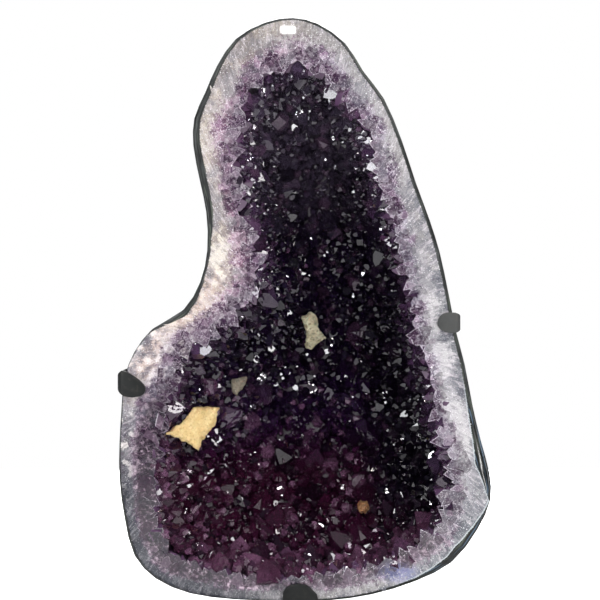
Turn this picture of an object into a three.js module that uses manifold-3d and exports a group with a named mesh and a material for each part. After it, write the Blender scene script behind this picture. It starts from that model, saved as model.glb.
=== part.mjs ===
// Half of an amethyst geode, cut and polished, held upright by a black steel stand.
// Units are millimetres. The stand's base plate lies on z = 0 with its centre at the origin, the cut face
// of the stone looks along -Y and up is +Z. The stone is drawn in a frame of its own: x to the right, y
// into the stone from its cut face, z up from its lowest point.
import * as THREE from "three";
import { mergeVertices } from "three/addons/utils/BufferGeometryUtils.js";
import Module from "manifold-3d";

const wasm = await Module();
wasm.setup();

// Driving dimensions of the stone
const FACE_Y = -100; // the cut face, from the middle of the base plate
const STONE_LIFT = 60; // the stone's lowest point above the surface that the stand rests on
const STONE_DEPTH = 190; // from the cut face to the back of the stone
const CAVITY_DEPTH = 148; // from the cut face to the deepest point of the hollow, without its crystals
const RIM_BEVEL = 4; // the ground edge between the cut face and the skin
const CLEARANCE = 0.3; // between solids that touch
const OVERCUT = 2; // how far a cutting solid starts before the cut face

// Stations round the rim, clockwise from the top. Each holds a point of the stone's outline and the point
// of the hollow's mouth across the banded quartz from it: x, z, x, z.
const STATIONS = [
  [-10, 585, -13, 536], [15, 579, 9, 534], [42, 560, 27, 518], [60, 532, 45, 496],
  [81, 504, 61, 472], [99, 462, 66, 444], [113, 420, 74, 412], [127, 382, 85, 376],
  [137, 350, 94, 340], [146, 308, 104, 302], [154, 268, 109, 264], [162, 238, 119, 232],
  [170, 196, 126, 194], [178, 162, 134, 162], [187, 128, 146, 136], [188, 102, 144, 102],
  [175, 72, 131, 76], [149, 39, 109, 58], [112, 20, 81, 42], [69, 7, 43, 35],
  [27, 1, 7, 29], [-18, 0, -31, 27], [-68, 2, -68, 29], [-113, 8, -100, 36],
  [-148, 23, -126, 49], [-169, 46, -143, 70], [-179, 84, -148, 97], [-184, 122, -146, 127],
  [-184, 157, -143, 157], [-182, 192, -135, 187], [-179, 224, -128, 214], [-169, 250, -120, 240],
  [-151, 273, -103, 260], [-120, 292, -75, 279], [-103, 320, -53, 299], [-96, 352, -42, 327],
  [-97, 390, -46, 364], [-103, 420, -60, 402], [-110, 457, -62, 437], [-109, 484, -64, 467],
  [-98, 510, -57, 494], [-86, 537, -45, 516], [-67, 564, -33, 528], [-39, 580, -23, 534],
];
const OUTLINE_STEPS = 2; // points of the outline from station to station
const MOUTH_STEPS = 1;
const STONE_MIDDLE = new THREE.Vector2(-3, 265);
const MOUTH_MIDDLE = new THREE.Vector2(7, 255);

// Depth as a share of the whole, and the size of the loop there. The hollow's floor drifts to the right, so
// its right wall is steep and its left wall a slope.
const SKIN_LEVELS = [[0.24, 0.988], [0.45, 0.935], [0.64, 0.835], [0.8, 0.68], [0.915, 0.47], [0.98, 0.25]];
const HOLLOW_LEVELS = [[0.14, 0.985], [0.34, 0.93], [0.55, 0.81], [0.74, 0.65], [0.89, 0.44], [0.97, 0.22]];
const HOLLOW_DRIFT = new THREE.Vector2(42, -12);
const NO_DRIFT = new THREE.Vector2(0, 0);
const DRIFT_EASE = 1.3; // above 1, the drift gathers pace with depth
const SKIN_LUMP = 0.018; // how far the skin's lumps rise and fall, over the distance from its middle
const HOLLOW_LUMP = 0.035;
const LUMP_FADE = 4; // the lumps fade out towards the cut face, over the first quarter of the depth
// The waves that make the lumps: how many go round, how they turn with depth, and each one's share
const LUMP_WAVES = [{ round: 5, twist: 9, share: 0.6 }, { round: 11, twist: -14, share: 0.4 }];

// The crystals
const CRYSTAL_ZONE = 10; // how far outside the mouth they begin, as violet quartz in the cut face
const CRUST_BED = 5; // thickness of the quartz bed that they stand on
const CRYSTAL_SPACING = 38; // least distance between two of them
const CRYSTAL_RADIUS = [22, 30]; // smallest and largest
const RIM_RADIUS = [13, 19]; // the same, of those that the cut face runs through
const RIM_ROW = 0.03; // how far in these stand, as a share of the way to the deepest point
const POINT_SLOPE = 1.1; // height of quartz's six-sided point over its radius
const CRYSTAL_LEAN = 0.35; // most that a crystal leans, as a slope
const PLACING_TRIES = 30000;
const FINEST_DETAIL = 1.5; // smaller steps between crystals are smoothed away

// Calcite grown on the crystals: the depth of its front, how much deeper that gets for each millimetre
// to the right, its thickness, and its outline as x, z
const CALCITE_BEVEL = 3;
const CALCITE_VIEW = 120; // how far in front of a calcite no crystal hides it
const CALCITES = {
  calcite_cream_large: {
    front: 26,
    lean: 0.9,
    thickness: 24,
    outline: [
      [-138, 168], [-117, 184], [-112, 192], [-87, 190],
      [-92, 172], [-104, 158], [-107, 147], [-118, 157],
    ],
  },
  calcite_cream_upper: {
    front: 66,
    lean: 0.5,
    thickness: 30,
    outline: [
      [-1, 284], [8, 289], [14, 286], [16, 272], [24, 262],
      [14, 256], [9, 251], [3, 252], [4, 268],
    ],
  },
  calcite_grey_small: {
    front: 54,
    lean: 0.9,
    thickness: 26,
    outline: [[-74, 219], [-59, 221], [-62, 211], [-69, 204], [-73, 206]],
  },
  calcite_amber_small: {
    front: 50,
    lean: 0.2,
    thickness: 30,
    outline: [[56, 88], [60, 93], [68, 92], [70, 85], [65, 79], [58, 81]],
  },
};

// The stand, in plate and flat bar
const BASE = { width: 300, depth: 260, thickness: 12, corner: 24, bevel: 1.5 };
const POST = { width: 50, depth: 20, y: STONE_DEPTH + CLEARANCE, top: 306 };
const BAR = 5; // thickness of the three arms
const BAR_GAP = 1.2; // between an arm and the stone, where a thin felt would be
const BAR_LINE = BAR / 2 + BAR_GAP; // from the stone to the middle of a bar's thickness
const ARM_FOLLOWS = 130; // depth to which a side arm follows the stone
const ARM_SLACK = 0.5; // how much further each of its steps stands off, over the first
const GRIP_CORNER = 10; // length in which a side arm turns round the rim
const GRIP_REACH = 12; // how far behind the cut face the grip's own outline holds
const ARM_SHOULDER = 70; // how far from the stone's middle a side arm straightens towards the post
// The end of each arm that laps over the cut face, as seen from the front: x, z
const LEFT_GRIP = [
  [-192, 224], [-188, 229], [-181, 232], [-172, 228], [-162, 221], [-157, 214],
  [-159, 208], [-168, 205], [-178, 206], [-187, 211],
];
const RIGHT_GRIP = [
  [134, 279], [137, 286], [143, 289.5], [152, 289.5], [162, 287], [166, 280],
  [162, 272], [152, 269], [142, 270], [136, 274],
];
const BOTTOM_GRIP = [
  [-21, -10], [-20, 10], [-17, 15], [-12, 18], [-3, 19],
  [4, 17.5], [9, 13], [14, 8], [18, -10],
];
const GRIP_RISE = 30; // how far up the bottom arm's bar runs before its outline is cut

// A seeded generator, so that the stone is the same at each run
let seed = 20;
function random() {
  seed = (seed + 0x6d2b79f5) | 0;
  let mixed = Math.imul(seed ^ (seed >>> 15), 1 | seed);
  mixed = (mixed + Math.imul(mixed ^ (mixed >>> 7), 61 | mixed)) ^ mixed;
  return ((mixed ^ (mixed >>> 14)) >>> 0) / 4294967296;
}
const between = (low, high) => low + (high - low) * random();
const flatPoint = ([x, z]) => new THREE.Vector2(x, z);

// From a closed geometry to a solid that can be cut and joined, and back
function solid(geometry) {
  const bare = geometry.clone();
  bare.deleteAttribute("normal");
  bare.deleteAttribute("uv");
  const merged = mergeVertices(bare, 1e-4);
  return new wasm.Manifold(
    new wasm.Mesh({
      numProp: 3,
      vertProperties: merged.attributes.position.array,
      triVerts: new Uint32Array(merged.index.array),
    }),
  );
}

function geometryOf(made) {
  const { vertProperties, triVerts } = made.getMesh();
  const geometry = new THREE.BufferGeometry();
  geometry.setAttribute("position", new THREE.BufferAttribute(vertProperties, 3));
  geometry.setIndex(new THREE.BufferAttribute(triVerts, 1));
  const flat = geometry.toNonIndexed();
  flat.computeVertexNormals();
  return flat;
}

// A shape drawn in x and z, as a solid from one depth to another
function slab(shape, near, far) {
  const geometry = new THREE.ExtrudeGeometry(shape, { depth: far - near, bevelEnabled: false });
  return solid(geometry.rotateX(Math.PI / 2).translate(0, far, 0));
}

// A closed shape that runs smoothly through its points
function smoothShape(points) {
  const knots = points.map(([x, z]) => new THREE.Vector3(x, z, 0));
  const curve = new THREE.CatmullRomCurve3(knots, true, "centripetal");
  const traced = curve.getPoints(points.length * 2).slice(1);
  return new THREE.Shape(traced.map(({ x, y }) => new THREE.Vector2(x, y)));
}

// The stone's outline and the hollow's mouth, as two loops with matching points
function loopThrough(column, steps) {
  const knots = STATIONS.map((station) => new THREE.Vector3(station[column], 0, station[column + 1]));
  const curve = new THREE.CatmullRomCurve3(knots, true, "centripetal");
  const count = STATIONS.length * steps;
  return Array.from({ length: count }, (_, i) => {
    const point = curve.getPoint(i / count);
    return new THREE.Vector2(point.x, point.z);
  });
}
const outline = loopThrough(0, OUTLINE_STEPS);
const mouth = loopThrough(2, MOUTH_STEPS);

// A loop moved inwards by a distance, at right angles to itself
function inset(loop, distance) {
  return loop.map((point, i) => {
    const before = loop[(i + loop.length - 1) % loop.length];
    const along = loop[(i + 1) % loop.length].clone().sub(before).normalize();
    return new THREE.Vector2(point.x + along.y * distance, point.y - along.x * distance);
  });
}

// A loop scaled about a middle and moved, with lumps that run round it and change with depth
function ringAt(loop, middle, share, scale, drift, lump) {
  return loop.map((point, i) => {
    const turn = (2 * Math.PI * i) / loop.length;
    const waves = LUMP_WAVES.map((wave) => wave.share * Math.sin(wave.round * turn + wave.twist * share));
    const rise = waves.reduce((sum, wave) => sum + wave) * Math.min(1, share * LUMP_FADE);
    const arm = point.clone().sub(middle).multiplyScalar(scale * (1 + lump * rise));
    return arm.add(middle).addScaledVector(drift, Math.pow(share, DRIFT_EASE));
  });
}

// The rings of the skin, moved outwards by a distance
function skinRings(grow) {
  const deeper = SKIN_LEVELS.map(([share, scale]) => ({
    depth: share * STONE_DEPTH,
    loop: inset(ringAt(outline, STONE_MIDDLE, share, scale, NO_DRIFT, SKIN_LUMP), -grow),
  }));
  const ground = { depth: -grow, loop: inset(outline, RIM_BEVEL - grow) };
  return [ground, { depth: RIM_BEVEL, loop: inset(outline, -grow) }, ...deeper];
}

// The hollow's rings, moved away from its wall by a distance, from the depths that front lists
function hollowRings(inwards, front) {
  const aside = inwards - CRYSTAL_ZONE;
  const first = inset(mouth, aside);
  const deeper = HOLLOW_LEVELS.map(([share, scale]) => ({
    depth: share * CAVITY_DEPTH - inwards,
    loop: inset(ringAt(mouth, MOUTH_MIDDLE, share, scale, HOLLOW_DRIFT, HOLLOW_LUMP), aside),
  }));
  return [...front.map((depth) => ({ depth, loop: first })), ...deeper];
}

function deepestPoint(rings, depth) {
  const { loop } = rings[rings.length - 1];
  const sum = loop.reduce((total, point) => total.add(point), new THREE.Vector2());
  return new THREE.Vector3(sum.x / loop.length, depth, sum.y / loop.length);
}

// A point of a ring in space
function cornerOf(ring, i) {
  const point = ring.loop[i % ring.loop.length];
  return new THREE.Vector3(point.x, ring.depth, point.y);
}

// A closed solid through rings, with a flat front and a fan of triangles at its deep end
function loft(rings, lastDepth) {
  const positions = [];
  const triangle = (...corners) => corners.forEach((corner) => positions.push(...corner.toArray()));
  const count = rings[0].loop.length;
  const last = rings.length - 1;
  const tip = deepestPoint(rings, lastDepth);
  for (let i = 0; i < count; i += 1) {
    for (let k = 0; k < last; k += 1) {
      const [near, far] = [rings[k], rings[k + 1]];
      triangle(cornerOf(near, i), cornerOf(near, i + 1), cornerOf(far, i + 1));
      triangle(cornerOf(near, i), cornerOf(far, i + 1), cornerOf(far, i));
    }
    triangle(cornerOf(rings[last], i), cornerOf(rings[last], i + 1), tip);
  }
  const front = THREE.ShapeUtils.triangulateShape(rings[0].loop, []);
  front.forEach((three) => triangle(...three.map((i) => cornerOf(rings[0], i))));
  const geometry = new THREE.BufferGeometry();
  geometry.setAttribute("position", new THREE.Float32BufferAttribute(positions, 3));
  return solid(geometry);
}

// The shell of the stone: its skin, its cut face and the bare wall of its hollow
function makeShell() {
  const body = loft(skinRings(0), STONE_DEPTH);
  return body.subtract(loft(hollowRings(0, [-OVERCUT, 0]), CAVITY_DEPTH));
}

// A place on the bed, by its share of the way round and of the way in, and the direction away from it
function bedPlace(rings, tip, around, inwards) {
  const at = (u, v) => {
    const i = Math.floor(u * rings[0].loop.length);
    const part = u * rings[0].loop.length - i;
    const row = Math.min(v * rings.length, rings.length - 1e-6);
    const k = Math.floor(row);
    const along = (ring) => cornerOf(ring, i).lerp(cornerOf(ring, i + 1), part);
    const deeper = k + 1 < rings.length ? along(rings[k + 1]) : tip.clone();
    return along(rings[k]).lerp(deeper, row - k);
  };
  const step = 0.004;
  const place = at(around, inwards * (1 - step));
  const side = at((around + step) % 1, inwards * (1 - step)).sub(place);
  const down = at(around, inwards * (1 - step) + step).sub(place);
  return { place, away: down.cross(side).normalize() };
}

// One crystal: a six-sided point whose foot is buried in the bed
function crystalAt({ place, away }, radius) {
  const profile = [
    new THREE.Vector2(0, -CRUST_BED),
    new THREE.Vector2(radius, -CRUST_BED),
    new THREE.Vector2(radius, 0),
    new THREE.Vector2(0, POINT_SLOPE * radius),
  ];
  const sway = () => between(-CRYSTAL_LEAN, CRYSTAL_LEAN);
  const axis = new THREE.Vector3(sway(), sway(), sway()).add(away).normalize();
  const stand = new THREE.Quaternion().setFromUnitVectors(new THREE.Vector3(0, 1, 0), axis);
  const geometry = new THREE.LatheGeometry(profile, 6).rotateY(between(0, Math.PI / 3));
  return solid(geometry.applyQuaternion(stand).translate(place.x, place.y, place.z));
}

// A row of smaller crystals that the cut face runs through, then larger ones at random places, none nearer
// to another than the spacing
function makeCrystals() {
  const rings = hollowRings(CRUST_BED, [0]);
  const tip = deepestPoint(rings, CAVITY_DEPTH - CRUST_BED);
  const row = mouth.map((_, i) => bedPlace(rings, tip, i / mouth.length, RIM_ROW));
  const chosen = [...row];
  for (let tries = 0; tries < PLACING_TRIES; tries += 1) {
    const candidate = bedPlace(rings, tip, random(), random());
    const free = chosen.every(({ place }) => place.distanceTo(candidate.place) > CRYSTAL_SPACING);
    if (free) chosen.push(candidate);
  }
  const sizes = (i) => (i < row.length ? RIM_RADIUS : CRYSTAL_RADIUS);
  return chosen.map((spot, i) => crystalAt(spot, between(...sizes(i))));
}

// The crust: a bed that lines the hollow and all its crystals, cut flush with the cut face. It is the
// lining of the hollow less the room in the middle, so that no cavity stays closed between two crystals.
function makeCrust() {
  const lining = loft(hollowRings(CLEARANCE, [0]), CAVITY_DEPTH - CLEARANCE);
  const space = loft(hollowRings(CRUST_BED, [-OVERCUT, 0]), CAVITY_DEPTH - CRUST_BED);
  const room = largestPiece(space.subtract(wasm.Manifold.union(makeCrystals())));
  const pockets = Object.values(CALCITES).map((kind) => {
    const front = kind.front - CALCITE_VIEW;
    return leaningPlate({ ...kind, front, thickness: kind.thickness + CALCITE_VIEW }, CLEARANCE);
  });
  return largestPiece(wasm.Manifold.difference([lining, room.simplify(FINEST_DETAIL), ...pockets]));
}

// Small chips that a cut has freed are left out
function largestPiece(made) {
  return made.decompose().reduce((best, piece) => (piece.volume() > best.volume() ? piece : best));
}

// A thick plate with sloping edges, grown by a distance and sheared to lie along the slope of the wall
function leaningPlate({ outline: points, front, lean, thickness }, grow) {
  const geometry = new THREE.ExtrudeGeometry(new THREE.Shape(points.map(flatPoint)), {
    depth: thickness - 2 * CALCITE_BEVEL + 2 * grow,
    bevelThickness: CALCITE_BEVEL,
    bevelSize: CALCITE_BEVEL,
    bevelOffset: grow - CALCITE_BEVEL,
    bevelSegments: 1,
  });
  const across = points.map(([x]) => x);
  const middle = (Math.min(...across) + Math.max(...across)) / 2;
  const back = front + thickness + grow - CALCITE_BEVEL;
  const shear = new THREE.Matrix4().makeShear(lean, 0, 0, 0, 0, 0);
  shear.setPosition(0, back - lean * middle, 0);
  return solid(geometry.rotateX(Math.PI / 2).applyMatrix4(shear));
}

// A calcite, its back against the wall of the hollow where it reaches it
function makeCalcite(name) {
  const lining = loft(hollowRings(CLEARANCE, [0]), CAVITY_DEPTH - CLEARANCE);
  return largestPiece(leaningPlate(CALCITES[name], 0).intersect(lining));
}

// A flat bar bent along a path in its own plane, as wide as it is extruded
function bentBar(path, width) {
  const knots = path.map(([u, v]) => new THREE.Vector3(u, v, 0));
  const centre = new THREE.CatmullRomCurve3(knots, false, "centripetal").getPoints(path.length * 3);
  const edge = (side) =>
    centre.map((point, i) => {
      const before = centre[Math.max(0, i - 1)];
      const along = centre[Math.min(centre.length - 1, i + 1)].clone().sub(before).normalize();
      const off = (side * BAR) / 2;
      return new THREE.Vector2(point.x - along.y * off, point.y + along.x * off);
    });
  const shape = new THREE.Shape([...edge(1), ...edge(-1).reverse()]);
  return new THREE.ExtrudeGeometry(shape, { depth: width, bevelEnabled: false });
}

// Where the skin lies at a height, on the left (-1) or right (1) side, as x and depth from the rim inwards
function skinSection(z, side) {
  return skinRings(0).slice(1).flatMap(({ depth, loop }) => {
    const crossings = loop.flatMap((point, i) => {
      const next = loop[(i + 1) % loop.length];
      const crosses = (point.y - z) * (next.y - z) <= 0 && point.y !== next.y;
      return crosses ? [point.x + ((next.x - point.x) * (z - point.y)) / (next.y - point.y)] : [];
    });
    return crossings.length ? [[side * Math.max(...crossings.map((x) => side * x)), depth]] : [];
  });
}

// An arm, hollowed where a lump of the skin would reach into it
function clearOfSkin(arm) {
  return arm.subtract(loft(skinRings(CLEARANCE), STONE_DEPTH + CLEARANCE));
}

// A side arm: over the cut face, round the rim and along the skin to the post. Its end has the outline of
// the grip, and the rest the full width of the bar.
function sideArm(grip, side) {
  const heights = grip.map(([, z]) => z);
  const low = Math.min(...heights);
  const width = Math.max(...heights) - low;
  const middle = low + width / 2;
  const [[rim], ...section] = skinSection(middle, side).filter(([, depth]) => depth < ARM_FOLLOWS);
  const outer = rim + side * BAR_LINE;
  const tip = side * Math.min(...grip.map(([x]) => side * x));
  const standOff = (i) => BAR_LINE * ARM_SLACK * i;
  const path = [
    [tip, -BAR_LINE],
    [outer - side * GRIP_CORNER, -BAR_LINE],
    [outer - (side * GRIP_CORNER) / 4, -BAR_LINE / 2],
    [outer, GRIP_CORNER / 2],
    ...section.map(([x, depth], i) => [x + side * (BAR_LINE + standOff(i)), depth + standOff(i)]),
    [side * ARM_SHOULDER, POST.y + POST.depth / 4],
    [side * (POST.width / 2 + CLEARANCE), POST.y + POST.depth / 2],
  ];
  const bar = solid(bentBar(path, width).translate(0, 0, low));
  const end = bar.intersect(slab(smoothShape(grip), -GRIP_REACH, GRIP_REACH + BAR));
  return clearOfSkin(end.add(bar.trimByPlane([0, 1, 0], GRIP_REACH)));
}

// The bottom arm: from the post forwards under the stone and up over the cut face
function bottomArm() {
  const across = BOTTOM_GRIP.map(([x]) => x);
  const left = Math.min(...across);
  const width = Math.max(...across) - left;
  const path = [
    [POST.y - CLEARANCE, -BAR_LINE],
    [POST.y / 3, -BAR_LINE],
    [GRIP_CORNER, -BAR_LINE],
    [-BAR_LINE / 2, -BAR_LINE * 0.75],
    [-BAR_LINE, GRIP_CORNER / 2],
    [-BAR_LINE, GRIP_RISE],
  ];
  const upright = new THREE.Matrix4().makeBasis(
    new THREE.Vector3(0, 1, 0),
    new THREE.Vector3(0, 0, 1),
    new THREE.Vector3(1, 0, 0),
  );
  const bar = solid(bentBar(path, width).applyMatrix4(upright).translate(left, 0, 0));
  const grip = new THREE.Shape(BOTTOM_GRIP.map(flatPoint));
  return clearOfSkin(bar.intersect(slab(grip, -GRIP_REACH, POST.y)));
}

// The upright that the arms are welded to, standing on the base plate
function makePost() {
  const height = POST.top + STONE_LIFT - BASE.thickness - CLEARANCE;
  const geometry = new THREE.BoxGeometry(POST.width, POST.depth, height);
  return solid(geometry.translate(0, POST.y + POST.depth / 2, POST.top - height / 2));
}

// A plate with rounded corners and a small bevel all round
function makeBase() {
  const { width, depth, thickness, corner, bevel } = BASE;
  const [x, y] = [width / 2 - corner, depth / 2 - corner];
  const shape = new THREE.Shape();
  shape.absarc(x, y, corner, 0, Math.PI / 2);
  shape.absarc(-x, y, corner, Math.PI / 2, Math.PI);
  shape.absarc(-x, -y, corner, Math.PI, 1.5 * Math.PI);
  shape.absarc(x, -y, corner, 1.5 * Math.PI, 2 * Math.PI);
  const geometry = new THREE.ExtrudeGeometry(shape, {
    depth: thickness - 2 * bevel,
    bevelThickness: bevel,
    bevelSize: bevel,
    bevelOffset: -bevel,
    bevelSegments: 1,
    curveSegments: 3,
  });
  return solid(geometry.translate(0, 0, bevel));
}

// Finishes, by what has them
const FINISHES = {
  rind: { color: 0x4a4d4c, roughness: 0.6, metalness: 0 },
  amethyst: { color: 0x3a1f4d, roughness: 0.12, metalness: 0 },
  cream: { color: 0xd9bd7a, roughness: 0.7, metalness: 0 },
  grey: { color: 0x9c958c, roughness: 0.7, metalness: 0 },
  amber: { color: 0xb0722c, roughness: 0.6, metalness: 0 },
  steel: { color: 0x2c2e2f, roughness: 0.55, metalness: 0.4 },
};

// A solid as a mesh that has the name of its piece
function named(name, made, finish) {
  const mesh = new THREE.Mesh(geometryOf(made), new THREE.MeshStandardMaterial(FINISHES[finish]));
  mesh.name = name;
  return mesh;
}

const stone = new THREE.Group();
stone.position.set(0, FACE_Y, STONE_LIFT);
stone.add(
  named("geode_shell", makeShell(), "rind"),
  named("amethyst_crust", makeCrust(), "amethyst"),
  named("calcite_cream_large", makeCalcite("calcite_cream_large"), "cream"),
  named("calcite_cream_upper", makeCalcite("calcite_cream_upper"), "cream"),
  named("calcite_grey_small", makeCalcite("calcite_grey_small"), "grey"),
  named("calcite_amber_small", makeCalcite("calcite_amber_small"), "amber"),
  named("arm_left", sideArm(LEFT_GRIP, -1), "steel"),
  named("arm_right", sideArm(RIGHT_GRIP, 1), "steel"),
  named("arm_bottom", bottomArm(), "steel"),
  named("stand_post", makePost(), "steel"),
);

const geode = new THREE.Group();
geode.add(stone, named("stand_base", makeBase(), "steel"));

export default geode;
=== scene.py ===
# %% [markdown]
# # Half of an amethyst geode on its steel stand
# A geode is a bubble in old lava that quartz has grown into from its walls. This one was sawn in half and its cut
# face polished. The frame below is the measured model: the stone, the crust of crystals, four calcites and the stand.
# Every piece that is made here stays where its measured solid is.

# %% Load the measured frame
import math

import bpy
import numpy as np
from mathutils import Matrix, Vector, noise
from mathutils.bvhtree import BVHTree


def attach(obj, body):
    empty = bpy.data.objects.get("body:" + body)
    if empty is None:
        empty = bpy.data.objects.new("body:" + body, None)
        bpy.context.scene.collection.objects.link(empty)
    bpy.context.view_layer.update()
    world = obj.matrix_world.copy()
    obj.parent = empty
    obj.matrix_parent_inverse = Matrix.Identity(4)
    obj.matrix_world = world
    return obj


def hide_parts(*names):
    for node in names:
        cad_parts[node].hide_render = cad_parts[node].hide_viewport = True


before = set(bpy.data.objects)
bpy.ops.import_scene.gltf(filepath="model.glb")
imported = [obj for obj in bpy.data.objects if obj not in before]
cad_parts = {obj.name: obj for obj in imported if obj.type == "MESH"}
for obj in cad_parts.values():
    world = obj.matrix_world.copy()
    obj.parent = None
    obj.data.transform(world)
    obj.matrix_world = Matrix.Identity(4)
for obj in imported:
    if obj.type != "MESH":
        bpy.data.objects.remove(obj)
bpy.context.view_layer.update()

MM = 0.001
FACE_Y = -0.1  # the plane of the polished cut face
SEED = 20
dice = np.random.default_rng(SEED)
noise.seed_set(SEED)  # without a seed of its own, noise_vector starts from the clock

# %% [markdown]
# # Camera
# The photograph looks level at the middle of the stone, straight at the cut face. One picture width is 600 mm at the
# cut face. A long lens from 1.5 m keeps the face free of perspective, as the photograph has it.

# %% Place the camera
CAMERA_PLACE = (-0.003, -1.6, 0.362)
LENS_MM, SENSOR_MM = 90, 36


def add_object(name, data):
    """Puts a new object with its data in the scene."""
    added = bpy.data.objects.new(name, data)
    bpy.context.scene.collection.objects.link(added)
    return added


lens = bpy.data.cameras.new("camera")
lens.lens, lens.sensor_width = LENS_MM, SENSOR_MM
camera = add_object("camera", lens)
camera.location = CAMERA_PLACE
camera.rotation_euler = (math.radians(90), 0, 0)
bpy.context.scene.camera = camera
print("camera", CAMERA_PLACE, "lens", lens.lens)

# %% [markdown]
# # Places of the lights
# A geode sparkles because single crystal faces mirror windows and lamps into the eye. Some crystals are turned on
# purpose to mirror a light into the camera, so the places of the lights have to be known before the crystals are made.
# Wide, soft lights give the large grey sheen, and small ones give the points of light. They are made in a later step.

# %% Choose the places of the lights
WHITE, WARM, COOL = (1, 1, 1), (1, 0.985, 0.965), (0.965, 0.98, 1)
LIGHTS = {
    # place, width and height in metres, power in watts, colour
    "broad": ((0.9, -1.45, 1.35), 1.1, 0.8, 1.5, WARM),
    "upper_right": ((0.95, -0.6, 1.25), 0.46, 0.46, 9.8, WARM),
    "upper_left": ((-0.85, -0.56, 1.35), 0.43, 0.43, 8.4, COOL),
    "left": ((-1.2, -0.7, 0.5), 0.32, 0.45, 5.6, COOL),
    "right": ((1.2, -0.6, 0.35), 0.22, 0.5, 4.3, COOL),
    "top": ((0.05, -0.45, 1.75), 0.5, 0.3, 4.6, WHITE),
    "window_left": ((-0.62, -1.4, 0.3), 0.2, 0.2, 2.1, COOL),
    "window_right": ((0.6, -1.42, 0.5), 0.2, 0.2, 2.1, WHITE),
    "front_right": ((0.6, -1.3, 1.1), 0.12, 0.12, 2.7, WARM),
    "front_left": ((-0.7, -1.3, 0.95), 0.12, 0.12, 2.7, COOL),
    "front_low": ((0.75, -1.3, 0.12), 0.1, 0.1, 1.9, WARM),
    "front_high_left": ((-0.25, -1.5, 1.12), 0.1, 0.1, 1.9, WHITE),
    "front_high_right": ((0.3, -1.5, 1.3), 0.1, 0.1, 1.9, WHITE),
    "spot_left": ((-0.9, -1.2, 0.7), 0.08, 0.08, 1.2, WHITE),
    "spot_top": ((0.05, -1.35, 1.5), 0.08, 0.08, 1.2, WHITE),
    "spot_high_left": ((-0.5, -1.45, 1.3), 0.08, 0.08, 1.2, (1, 0.95, 0.86)),
}
MIRRORED = ("upper_right", "upper_left", "left", "right", "top", "window_left", "window_right")
print(len(LIGHTS), "lights")

# %% [markdown]
# # Small tools for meshes
# Operators act on whatever is selected, so each piece is selected alone before it is worked on. A copy of a measured
# solid starts as loose triangles, so its doubles are merged first.


# %% Select one piece alone, and copy a measured solid
SAME_PLACE = 0.01 * MM


def take(piece):
    """Selects one piece alone and makes it the active one."""
    bpy.ops.object.select_all(action="DESELECT")
    piece.select_set(True)
    bpy.context.view_layer.objects.active = piece
    return piece


def edit_all(piece):
    """Opens a piece in edit mode with all of it selected."""
    take(piece)
    bpy.ops.object.mode_set(mode="EDIT")
    bpy.ops.mesh.select_all(action="SELECT")


def copy_of(node, name):
    """A copy of a measured solid's mesh with its doubles merged and no material."""
    piece = take(add_object(name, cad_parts[node].data.copy()))
    bpy.ops.mesh.customdata_custom_splitnormals_clear()
    edit_all(piece)
    bpy.ops.mesh.remove_doubles(threshold=SAME_PLACE)
    bpy.ops.object.mode_set(mode="OBJECT")
    piece.data.materials.clear()
    return piece


def tree_of(*pieces):
    """A search tree over the faces of one or more pieces."""
    corners, faces = [], []
    for piece in pieces:
        start = len(corners)
        corners += [v.co.copy() for v in piece.data.vertices]
        faces += [[start + v for v in face.vertices] for face in piece.data.polygons]
    return BVHTree.FromPolygons(corners, faces)


def finish_piece(piece, slot, *nodes):
    """Hangs a finished piece on the root, hides the measured solids that it stands for and prints its triangles. slot
    is not used.
    """
    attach(piece, "root")
    if nodes:
        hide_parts(*nodes)
    piece.data.calc_loop_triangles()
    print(piece.name, len(piece.data.loop_triangles), "triangles")


# %% [markdown]
# # Rings of the cut face
# The flat cut face lies between two closed rings: the rim of the stone and the edge of the hollow. They are read from
# the measured stone, because everything on the face follows them: the bands, the rind and the row of rim crystals.

# %% Find the two rings in the measured stone
MIDDLE = np.array([-3, 325]) * MM
FULL_TURN = 2 * math.pi


def face_rings(mesh):
    """The closed rings of points round the flat cut face, as (x, z), the edge of the hollow first."""
    flat = [f for f in mesh.polygons if all(mesh.vertices[v].co.y < FACE_Y + SAME_PLACE for v in f.vertices)]
    uses = {}
    for face in flat:
        for edge in face.edge_keys:
            uses[edge] = uses.get(edge, 0) + 1
    next_to = {}
    for (a, b), times in uses.items():
        if times == 1:
            next_to.setdefault(a, []).append(b)
            next_to.setdefault(b, []).append(a)
    rings = []
    while next_to:
        here, before, ring = min(next_to), None, []
        while here not in ring:
            ring.append(here)
            ahead = [n for n in next_to[here] if n != before]
            before, here = here, ahead[0]
        for v in ring:
            del next_to[v]
        rings.append(np.array([(mesh.vertices[v].co.x, mesh.vertices[v].co.z) for v in ring]))
    return sorted(rings, key=lambda ring: np.ptp(ring[:, 1]))


def turn_of(points):
    """The angle of each (x, z) point about the middle, starting straight below it and running anticlockwise."""
    return (np.arctan2(*(points - MIDDLE).T[::-1]) + math.pi / 2) % FULL_TURN


def turned(ring):
    """The ring run anticlockwise, with each point's angle about the middle."""
    angle = turn_of(ring)
    order = np.argsort(angle)
    return angle[order], ring[order]


def even_angles(ring, count):
    """Angles about the middle of points that are evenly spaced along the ring."""
    angle, points = turned(ring)
    angle = np.append(angle, angle[0] + FULL_TURN)
    points = np.vstack([points, points[:1]])
    length = np.append(0, np.cumsum(np.linalg.norm(np.diff(points, axis=0), axis=1)))
    return np.interp(np.linspace(0, length[-1], count + 1), length, angle)


def crossed(a, b):
    """The cross product of flat vectors."""
    return a[:, 0] * b[:, 1] - a[:, 1] * b[:, 0]


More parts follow.
